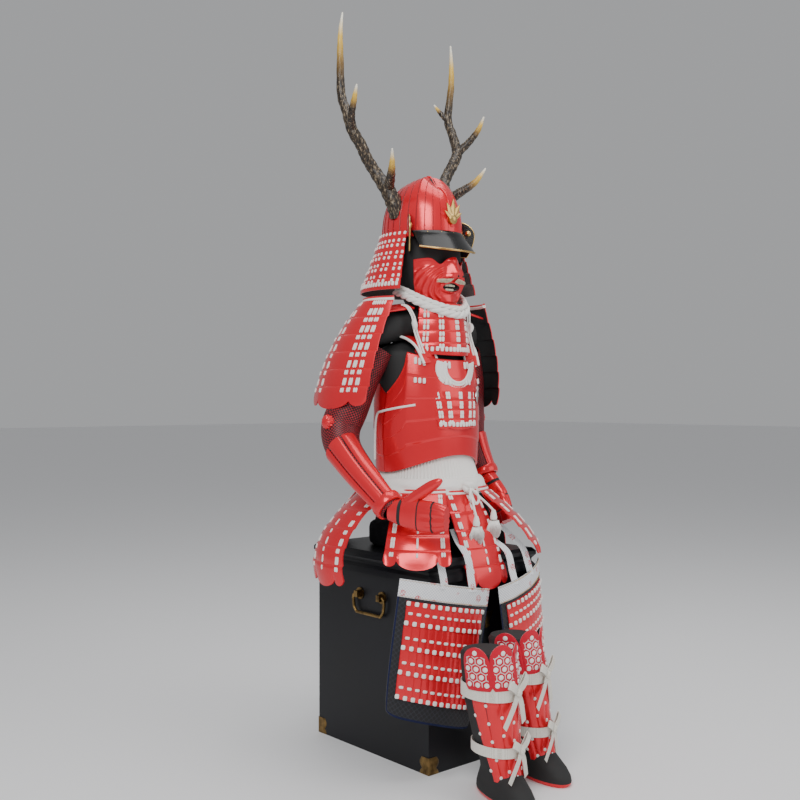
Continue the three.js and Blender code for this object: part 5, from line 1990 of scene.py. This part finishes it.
@dataclass(frozen=True)
class Limb:
    """Measurements of one arm, given as if it were the left one."""

    path: tuple[tuple[float, ...], ...]
    boss: Point
    hand: tuple[tuple[float, ...], ...]
    thumb: tuple[tuple[float, ...], ...]
    band: tuple[tuple[float, ...], ...]


RIGHT_LIMB = Limb(
    ((150, 0, 998, 40), (182, -22, 930, 44), (208, -45, 850, 49), (226, -54, 800, 49),
     (236, -30, 752, 44), (242, 40, 700, 37), (238, 112, 645, 31), (232, 150, 615, 29)),
    (268, -48, 816),
    ((232, 152, 614, 24, 25), (226, 178, 611, 19, 31), (216, 214, 607, 18, 36),
     (208, 244, 605, 17, 37), (200, 272, 604, 15, 34), (194, 292, 603, 12, 27)),
    ((224, 186, 630, 14), (213, 222, 655, 14), (203, 250, 674, 13), (197, 268, 685, 9), (194, 276, 689, 4)),
    (
        (236.6, 125, 634.5, 35), (236, 128, 632, 37), (234.5, 136, 626, 38), (233, 144, 620, 36.5),
        (232.7, 146, 618.5, 34)
    ),
)
LEFT_LIMB = Limb(
    ((150, 0, 998, 40), (182, -22, 930, 44), (204, -46, 860, 47), (219, -58, 812, 46),
     (226, -56, 770, 41), (231, -42, 730, 37), (236, -20, 686, 32), (239, -8, 664, 30)),
    (260, -56, 822),
    ((239, -7, 663, 20, 27), (242, 6, 640, 18, 33), (247, 22, 610, 17, 39),
     (250, 34, 584, 16, 39), (251, 45, 560, 14, 35), (248, 54, 540, 12, 28)),
    ((244, 34, 618, 13), (240, 56, 606, 12), (238, 70, 588, 9), (238, 76, 578, 4)),
    (
        (236.7, -17, 682, 36), (237, -16, 680, 38), (238, -12.5, 672, 39), (239, -9, 665, 37.5),
        (239.2, -8, 663, 35)
    ),
)


@dataclass(frozen=True)
class Arm:
    """Mail sleeve with an elbow boss, forearm splints and an armoured hand."""

    mirror: bool
    limb: Limb

    @property
    def side(self) -> str:
        """Which side the arm is on."""
        return "right" if self.mirror else "left"

    def dress(self, shape: Shape, piece: str, slot: str, node: str, *finishes: Finish) -> bpy.types.Object:
        """Build a shape on this arm's side."""
        shape = shape.mirrored() if self.mirror else shape
        obj = shape.build(f"{piece}_{self.side}", *finishes)
        if node:
            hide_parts(f"{node}_{self.side}")
        return obj

    def sleeve(self) -> None:
        """Mail over cloth."""
        line = curve(self.limb.path, 60)
        outer = path_rings(line, 40)
        inner = path_rings(line, 40, -2.5)
        self.dress(wall(outer, inner, True, 1), "sleeve_mail", "cloth_black", "arm_sleeve", MAIL, CLOTH)

    def boss(self) -> None:
        """Ribbed elbow boss."""
        rows = []
        x, f, z = self.limb.boss
        for off, r in ((-12, 17), (6, 17), (10, 15.5), (13, 12), (15.5, 8), (17, 3)):
            loop = []
            for i in range(96):
                t = 2 * math.pi * i / 96
                rr = r * (1 + 0.08 * math.cos(12 * t) * clamp(r / 16))
                loop.append((x + off, f + rr * math.cos(t), z + rr * math.sin(t)))
            rows.append(loop)
        self.dress(loft(rows), "elbow_boss", "lacquer_red", "", RED)

    def splints(self) -> None:
        """Four long domed splints and the wrist band."""
        part = curve(self.limb.path[4:], 24)
        frames = path_frames(part)
        shape = Shape()
        for s in range(4):
            outer, inner = [], []
            for j in range(23):
                centre, side, up = frames[j]
                r = part[j][3]
                row, back = [], []
                for i in range(13):
                    w = i / 12
                    t = math.radians(252 + 54 * (s + 0.06 + 0.88 * w))
                    way = side * math.cos(t) + up * math.sin(t)
                    taper = smooth(min(j + 0.6, 22.6 - j) / 1.5)
                    dome = (2.0 + 3.6 * math.sin(math.pi * w) ** 0.5) * (0.6 + 0.4 * taper)
                    row.append(tuple(centre + way * (r + dome)))
                    back.append(tuple(centre + way * (r + 0.5)))
                outer.append(row)
                inner.append(back)
            shape.merge(wall(outer, inner))
        self.dress(shape, "splints", "lacquer_red", "forearm_splints", RED)
        band = curve(self.limb.band, 12)
        self.dress(
            wall(path_rings(band, 48), path_rings(band, 48, -4), True), "wrist_band", "lacquer_red", "", RED
        )

    def glove(self) -> None:
        """Hand plate with finger ridges and dark lacing between its plates."""
        line = curve(self.limb.hand, 40)
        rings = []
        for j, (p, (centre, side, up)) in enumerate(zip(line, path_frames(line))):
            t = j / 40
            finger = smooth((t - 0.45) * 4)
            groove = bell(t - 0.46, 0.014) + bell(t - 0.72, 0.012) + bell(t - 0.2, 0.014)
            loop = []
            for i in range(72):
                a = 2 * math.pi * i / 72
                c, s = math.cos(a), math.sin(a)
                ridge = 3.4 * finger * (
                    abs(math.sin(math.copysign(abs(s) ** 0.75, s) * math.pi * 2)) ** 0.6 - 0.5
                )
                w = p[3] + ridge - 1.5 * groove
                h = p[4] - 1.8 * groove
                loop.append(
                    tuple(
                        centre + side * (
                            w * math.copysign(abs(c) ** 0.75, c)
                        ) + up * (h * math.copysign(abs(s) ** 0.75, s))
                    )
                )
            rings.append(loop)
        shape = Shape()
        index = shape.grid(rings, True)
        cols = 72
        for j in range(40):
            t = (j + 0.5) / 40
            if min(abs(t - 0.46), abs(t - 0.72), abs(t - 0.2)) < 0.016:
                for i in range(cols):
                    shape.marks[j * cols + i] = 1
        shape.fan(list(reversed(index[0])), 1)
        shape.fan(index[-1])
        thumb = curve(self.limb.thumb, 18)
        shape.merge(loft(path_rings(thumb, 24)))
        self.dress(shape, "hand_plates", "lacquer_red", "hand_guard", RED, CLOTH)

    def build(self) -> None:
        """Make the arm."""
        self.sleeve()
        self.boss()
        self.splints()
        self.glove()


# ------------------------------------------------------------------------- legs


@dataclass(frozen=True)
class ThighPanel:
    """Cloth panel with a brocade border and rows of small red plates."""

    mirror: bool
    corners: tuple[Point, ...]
    belly: float

    @property
    def side(self) -> str:
        """Which side the panel hangs on."""
        return "right" if self.mirror else "left"

    def place(self, u: float, v: float, out: float) -> Point:
        """Point of the panel."""
        s = (u + 1) / 2
        a, b, c, d = self.corners
        top = [lerp(p, q, s) for p, q in zip(a, b)]
        bottom = [lerp(p, q, s) for p, q in zip(d, c)]
        p = [lerp(x, y, v) for x, y in zip(top, bottom)]
        swell = self.belly * (1 - u * u) + out
        fillet = 10 * abs(u) ** 8 * v**6
        return (p[0] + 0.17 * swell - u * fillet, p[1] + 0.98 * swell, p[2] + fillet)

    def build(self) -> None:
        """Make the cloth, its border, band, lames and white lacing."""
        us = [-1, -0.972] + [-0.94 + 0.04 * i for i in range(48)] + [0.972, 1]
        vs = [0, 0.014, 0.05, 0.09, 0.116, 0.13] + [0.16 + 0.02 * i for i in range(41)] + [0.985, 1]
        outer = [[self.place(u, v, 2.2 + 0.5 * math.sin(9 * u + 5 * v)) for u in us] for v in vs]
        inner = [[self.place(u, v, 0.0) for u in us] for v in vs]
        cloth = wall(outer, inner, False, 1)
        cols = len(us) - 1
        for j in range(len(vs) - 1):
            for i in range(cols):
                u, v = (us[i] + us[i + 1]) / 2, (vs[j] + vs[j + 1]) / 2
                if v < 0.13:
                    cloth.marks[j * cols + i] = 2
                elif abs(u) > 0.97 or v > 0.983:
                    cloth.marks[j * cols + i] = 3
        field = self.field()
        plates: list[Site] = []
        beads: list[Site] = []
        self.rows(plates, beads)
        if self.mirror:
            cloth, field = cloth.mirrored(), field.mirrored()
            plates = [s.mirrored() for s in plates]
            beads = [s.mirrored() for s in beads]
        name = f"thigh_panel_{self.side}"
        obj = replace(cloth.build(name + "_cloth", BROCADE, CLOTH, FIGURED, NAVY), "cloth_black", name)
        field.build(name + "_lames", RED, CLOTH, sharp=25)
        set_out(name + "_laces", plates, Unit.LACE, LACE)
        set_out(name + "_beads", beads, Unit.RIVET, GILT)
        self.straps(name)

    def straps(self, name: str) -> None:
        """White figured straps that carry the panel from the waist."""
        shape = Shape()
        for u in (-0.5, 0.16):
            x, f, z = self.place(u, 0.02, 3.6)
            line = [
                (x, f, z - 4), (x - 2, f - 9, z + 26), (x - 5, max(219.0, f - 24), 499), (x - 18, 190, 530),
                (x - 30, 160, 556)
            ]
            shape.merge(strip(line, [(1, 0, 0)] * 5, 22, 1.3, 24))
        if self.mirror:
            shape = shape.mirrored()
        shape.build(name + "_straps", FIGURED)

    def field(self) -> Shape:
        """Four lames of eleven ribbed plates, each lame's foot over the next."""
        outer, inner = [], []
        for k in range(4):
            for t in (0.01, 0.05, 0.2, 0.4, 0.6, 0.8, 0.93, 0.985):
                v = 0.15 + 0.178 * (k + t)
                row, back = [], []
                for i in range(133):
                    u = -0.84 + 1.68 * i / 132
                    share = (i / 12) % 1.0
                    rib = 0.9 * math.sin(math.pi * share) ** 0.4 if 0 < share < 1 else 0.0
                    lozenge = 0.8 * clamp(1 - (abs(share - 0.5) * 4 + abs(t - 0.25) * 9))
                    row.append(self.place(u, v, 4.4 + 2.4 * t + rib + lozenge))
                    back.append(self.place(u, v, 2.4 + 2.0 * t))
                outer.append(row)
                inner.append(back)
        return wall(outer, inner, False, 1)

    def rows(self, plates: list[Site], beads: list[Site]) -> None:
        """Set out the white squares, the ovals between them and the band's gilt beads."""
        for k in range(5):
            v = 0.15 + 0.178 * k - (0.018 if k else -0.018)
            for i in range(12):
                u = -0.82 + 1.64 * i / 11
                plates.append(site_on(self.place, u, v, 7.8, (9.0, 10.0, 3.4)))
        for k in range(4):
            for i in range(11):
                u = -0.84 + 1.68 * (i + 0.5) / 11
                plates.append(site_on(self.place, u, 0.15 + 0.178 * (k + 0.5), 7.2, (9.5, 6.0, 3.2)))
        for v in (0.008, 0.124):
            for i in range(80):
                beads.append(site_on(self.place, -0.985 + 1.97 * i / 79, v, 3.0, (1.8, 1.8, 1.8)))


@dataclass(frozen=True)
class Leg:
    """Black legging and shoe with shin splints and a quilted knee guard."""

    side: str
    below: tuple[float, float]
    above: tuple[float, float]
    yaw: float

    def spot(self, x: float, f: float, z: float) -> Point:
        """Turn a point of the leg's own space into the armour's."""
        k = clamp((z - 60) / 270)
        yaw = math.radians(self.yaw)
        cx, cf = lerp(self.below[0], self.above[0], k), lerp(self.below[1], self.above[1], k)
        return (cx + x * math.cos(yaw) + f * math.sin(yaw), cf - x * math.sin(yaw) + f * math.cos(yaw), z)

    def gaiter(self) -> None:
        """Legging and shoe with a red sole edge."""
        rows = (
            (0, 36, 92, 24), (6, 40, 97, 24), (12, 41, 98, 24), (22, 40, 96, 23), (34, 38, 88, 20),
            (60, 36, 56, 4), (82, 38, 46, 0), (130, 48, 52, 0), (215, 57, 60, 0), (280, 58, 58, 0),
            (322, 56, 56, 0), (330, 50, 50, 0)
        )
        steps = [
            0, 3, 6, 9, 12, 15, 18, 22, 26, 30, 34, 40, 46, 53, 60, 67, 74, 82, 95, 110, 130, 160, 190, 215,
            250, 280, 310, 322, 327, 330
        ]
        shape = Shape()
        rings = []
        for z in steps:
            a, b, ahead = table(rows, z)
            rings.append([self.spot(*p) for p in ring(0, ahead, z, a, b, 2.2, 56)])
        index = shape.grid(rings, True)
        for j, z in enumerate(steps[:-1]):
            if z < 9:
                for i in range(56):
                    shape.marks[j * 56 + i] = 1
        shape.fan(list(reversed(index[0])), 1)
        shape.fan(index[-1])
        replace(shape.build(f"legging_{self.side}", CLOTH, RED), "cloth_black", f"gaiter_{self.side}")

    def shin_place(self, u: float, v: float, out: float) -> Point:
        """Point of the shin plates."""
        z, a, b = table(((0, 282, 57, 58), (0.3, 215, 56, 60), (0.65, 130, 48, 52), (1, 48, 45, 56)), v)
        t = math.radians(u * 95)
        return self.spot((a + out) * math.sin(t), (b + out) * math.cos(t), z)

    def shin(self) -> None:
        """Five long splints that narrow to the ankle, with dark seams between them."""
        us = [-1 + i / 60 for i in range(121)]
        vs = [j / 40 for j in range(41)]
        outer, inner = [], []
        for v in vs:
            narrow = 0.84 - 0.3 * v**2.2
            row, back = [], []
            for u in us:
                share = ((u + 1) / 2 * 5) % 1.0
                dome = 3.4 * math.sin(math.pi * clamp(share)) ** 0.5
                row.append(self.shin_place(u * narrow, v, 1.6 + dome))
                back.append(self.shin_place(u * narrow, v, 0))
            outer.append(row)
            inner.append(back)
        replace(
            wall(outer, inner, False, 1).build(f"shin_splints_{self.side}", RED, CLOTH, sharp=25),
            "lacquer_red", f"shin_plates_{self.side}"
        )

    def lobe(self, k: int) -> tuple[Shape, list[Site]]:
        """One rounded plate of the knee guard with its hexagons and white dots."""
        mid = (-0.665, 0.0, 0.665)[k]
        wide, low, high = 0.335, 252.0, (346.0, 352.0, 346.0)[k]
        radius = 66.0
        reach = wide * math.radians(82) * radius
        outer, inner, tones = [], [], []
        for j in range(81):
            y = j / 80
            z = lerp(low, high, y)
            crown = clamp((z - high + 40) / 40)
            foot = clamp((low + 12 - z) / 12)
            span = math.sqrt(max(1 - crown**2.2, 0.004)) * (1 - 0.18 * foot**2)
            row, back = [], []
            for i in range(77):
                x = reach * span * (-1 + i / 38)
                u = mid + x / (math.radians(82) * radius)
                h = self.to_line(x, z - 300)
                inside = min(1 - abs(-1 + i / 38), (1 - y) * 1.3, y * 2.2 + 0.02)
                framed = inside * reach * span > 7.0 and (high - z) > 13
                tones.append(h if framed else 9.0)
                lift = 3.4 + 0.9 * smooth(inside * 8) + (0.8 * clamp(1.4 - h) if framed else 0.9)
                row.append(self.round_place(u, z, lift))
                back.append(self.round_place(u, z, 0.2))
            outer.append(row)
            inner.append(back)
        shape = wall(outer, inner, False, 1)
        shape.tones = dict(enumerate(tones))
        sites = []
        for m in range(-3, 4):
            z = 300 + 17.3 * m
            for n in range(-3, 4):
                x = 20.0 * n - 10.0 * m
                crown = clamp((z + 9 - high + 40) / 40)
                room = reach * math.sqrt(max(1 - crown**2.2, 0.0))
                if abs(x) + 9 < room and z - 9 > low + 3:
                    u = mid + x / (math.radians(82) * radius)
                    at = Vector(self.round_place(u, z, 4.6))
                    away = Vector(self.round_place(u, z, 6.0)) - at
                    sites.append(Site(at, away, Vector((0, 0, 1)), (11.5, 11.5, 4.0)))
        return shape, sites

    @staticmethod
    def to_line(x: float, y: float) -> float:
        """Distance to the nearest line between hexagons."""
        m = round(y / 17.3)
        spans = []
        for row in (m - 1, m, m + 1):
            n = round((x + 10.0 * row) / 20.0)
            for col in (n - 1, n, n + 1):
                spans.append(math.hypot(x - 20.0 * col + 10.0 * row, y - 17.3 * row))
        spans.sort()
        return (spans[1] - spans[0]) / 2

    def round_place(self, u: float, z: float, out: float) -> Point:
        """Point round the knee at a height."""
        t = math.radians(u * 82)
        return self.spot((61.2 + out) * math.sin(t), (62.2 + out) * math.cos(t), z)

    def knee(self) -> None:
        """Guard of three rounded plates, quilted in hexagons round white dots."""
        guard, sites = Shape(), []
        for k in range(3):
            shape, dots = self.lobe(k)
            guard.merge(shape)
            sites.extend(dots)
        replace(
            guard.build(f"knee_quilt_{self.side}", QUILT, CLOTH), "lacquer_red", f"knee_guard_{self.side}"
        )
        set_out(f"knee_dots_{self.side}", sites, Unit.RIVET, LACE)

    def dots(self) -> None:
        """White knots along the seams of the splints, staggered."""
        sites = []
        for row in range(5):
            v = 0.22 + 0.17 * row
            for i in range(6):
                u = (-1 + 2 * i / 5) * (0.84 - 0.3 * v**2.2) * 0.97
                at = v + (0.06 if i % 2 else 0.0)
                sites.append(site_on(self.shin_place, u, at, 3.6, (7.5, 8.5, 4.0)))
        set_out(f"leg_knots_{self.side}", sites, Unit.RIVET, LACE)

    def ribbon(self, v: float, name: str, width: float, size: float) -> None:
        """Ribbon round the leg with a flat bow in front.

        Args:
            v: place down the shin.
            name: piece name.
            width: the ribbon's width.
            size: how large the bow is.
        """
        points, across = [], []
        for i in range(61):
            u = -1.9 + 3.8 * i / 60
            points.append(self.shin_place(u, v + 0.01 * math.sin(2.2 * u + 1), 7.0))
            across.append((0, 0, 1))
        shape = strip(points, across, width, 1.6)
        centre = Vector(self.shin_place(0.28, v, 9.5))
        side = (Vector(self.shin_place(0.4, v, 9.5)) - Vector(self.shin_place(0.16, v, 9.5))).normalized()
        away = (Vector(self.shin_place(0.28, v, 12)) - centre).normalized()
        up = Vector((0, 0, 1))
        for s, rise in ((-1, 0.62), (1, 0.9)):
            way = (side * s + up * rise).normalized()
            over = way.cross(away).normalized()
            loop = [centre, centre + way * (22 * size) + away * 7, centre + way * (44 * size) + away * 6,
                    centre + way * (47 * size) + away * 3, centre + way * (43 * size) + away * 1.5,
                    centre + way * (20 * size) + away * 1.0, centre]
            shape.merge(strip(loop, [over] * 7, 18 * size, 1.3, 36))
        for s, fall, long in ((-1, 1.15, 86.0), (1, 2.6, 74.0)):
            way = (side * s - up * fall).normalized()
            over = way.cross(away).normalized()
            tail = [centre, centre + way * (long * 0.3 * size) + away * 4,
                    centre + way * (long * 0.65 * size) + away * 3,
                    centre + way * (long * size) + away * 1]
            shape.merge(strip(tail, [over] * 4, 17 * size, 1.2, 18))
        knot = [tuple(centre + away * k) for k in (-3, 1, 6, 9)]
        shape.merge(loft(path_rings([(*p, r) for p, r in zip(knot, (7, 10, 9, 5))], 16)))
        shape.build(name, RIBBON)

    def build(self) -> None:
        """Make the leg."""
        self.gaiter()
        self.shin()
        self.knee()
        self.dots()
        self.ribbon(0.17, f"ribbon_upper_{self.side}", 30.0, 1.0)
        self.ribbon(0.72, f"ribbon_lower_{self.side}", 22.0, 0.9)


# ------------------------------------------------------------------------ chest


@dataclass(frozen=True)
class Chest:
    """Finishes of the chest's own solids, with its corner fittings and front plate."""

    def dress(self) -> None:
        """Give the carried over solids their finishes."""
        dressing = {"chest_body": CHEST, "chest_lid": CHEST}
        for part in ("handle_plate_front", "handle_plate_back", "bail"):
            for side in ("right", "left"):
                dressing[f"{part}_{side}"] = BRASS
        for node, finish in dressing.items():
            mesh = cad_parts[node].data
            mesh.materials.clear()
            mesh.materials.append(finish.material())

    def fitting(self, x: int, f: int, z: float, turn: int) -> Shape:
        """Cloud edged corner fitting wrapped on two faces."""
        shape = Shape()
        for face in (0, 1):
            outer, inner = [], []
            for j in range(13):
                row, back = [], []
                v = j / 12
                reach = 24 + 8 * abs(math.cos(v * math.pi * 1.5))
                for i in range(9):
                    s = reach * i / 8
                    lift = 1.4 if i < 8 else 0.3
                    for rows, off in ((row, lift), (back, 0.1)):
                        if face:
                            rows.append((x * (175 + off), f * (212 + off - s), z + turn * 40 * v))
                        else:
                            rows.append((x * (175 + off - s), f * (212 + off), z + turn * 40 * v))
                outer.append(row)
                inner.append(back)
            shape.merge(wall(outer, inner))
        return shape

    def build(self) -> None:
        """Dress the chest and add its metalwork."""
        self.dress()
        metal = Shape()
        for x in (-1, 1):
            for f in (-1, 1):
                metal.merge(self.fitting(x, f, 0.6, 1))
                metal.merge(self.fitting(x, f, 440, -1))
        metal.build("corner_fittings", BRASS)
        plate = Shape()
        for lean, length in ((0, 52), (-55, 44), (55, 44), (-110, 30), (110, 30)):
            a = math.radians(lean)
            plate.merge(
                leaf(
                    Vector((0, 212.6, 330)), Vector((math.sin(a), 0, math.cos(a))), Vector((0, 1, 0)), length,
                    0.6
                )
            )
        plate.build("front_leaves", BRASS)


def report_size(name: str, low_high: tuple[Vector, Vector], into: dict) -> None:
    """Keep the lowest and highest corner under a name."""
    into[name] = [list(low_high[0]), list(low_high[1])]


def main() -> None:
    """Build the armour."""
    logging.basicConfig(level=logging.INFO, format="%(message)s")
    sizes: dict[str, list[list[float]]] = {}
    report_size("cad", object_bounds(), sizes)
    Studio().build()
    SideTie().build()
    Waist().build()
    Chest().build()
    Seat().build()
    Helmet().build()
    Mask().build()
    NeckWrap().build()
    Shoulders().build()
    THROAT.build()
    Cuirass().build()
    for panel in TASSETS:
        panel.build()
    for mirror, side in ((True, "right"), (False, "left")):
        SHOULDER.build(mirror, "shoulder_guard_" + side)
    Arm(True, RIGHT_LIMB).build()
    Arm(False, LEFT_LIMB).build()
    ThighPanel(True, ((14, 250, 420), (246, 190, 463), (286, 176, 155), (78, 250, 97)), 28).build()
    ThighPanel(False, ((14, 250, 420), (228, 190, 463), (264, 180, 155), (64, 252, 97)), 24).build()
    Leg("right", (-135, 398), (-180, 402), -14).build()
    Leg("left", (26, 352), (-34, 345), -8).build()
    report_size("scene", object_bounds(), sizes)


if __name__ == "__main__":
    main()
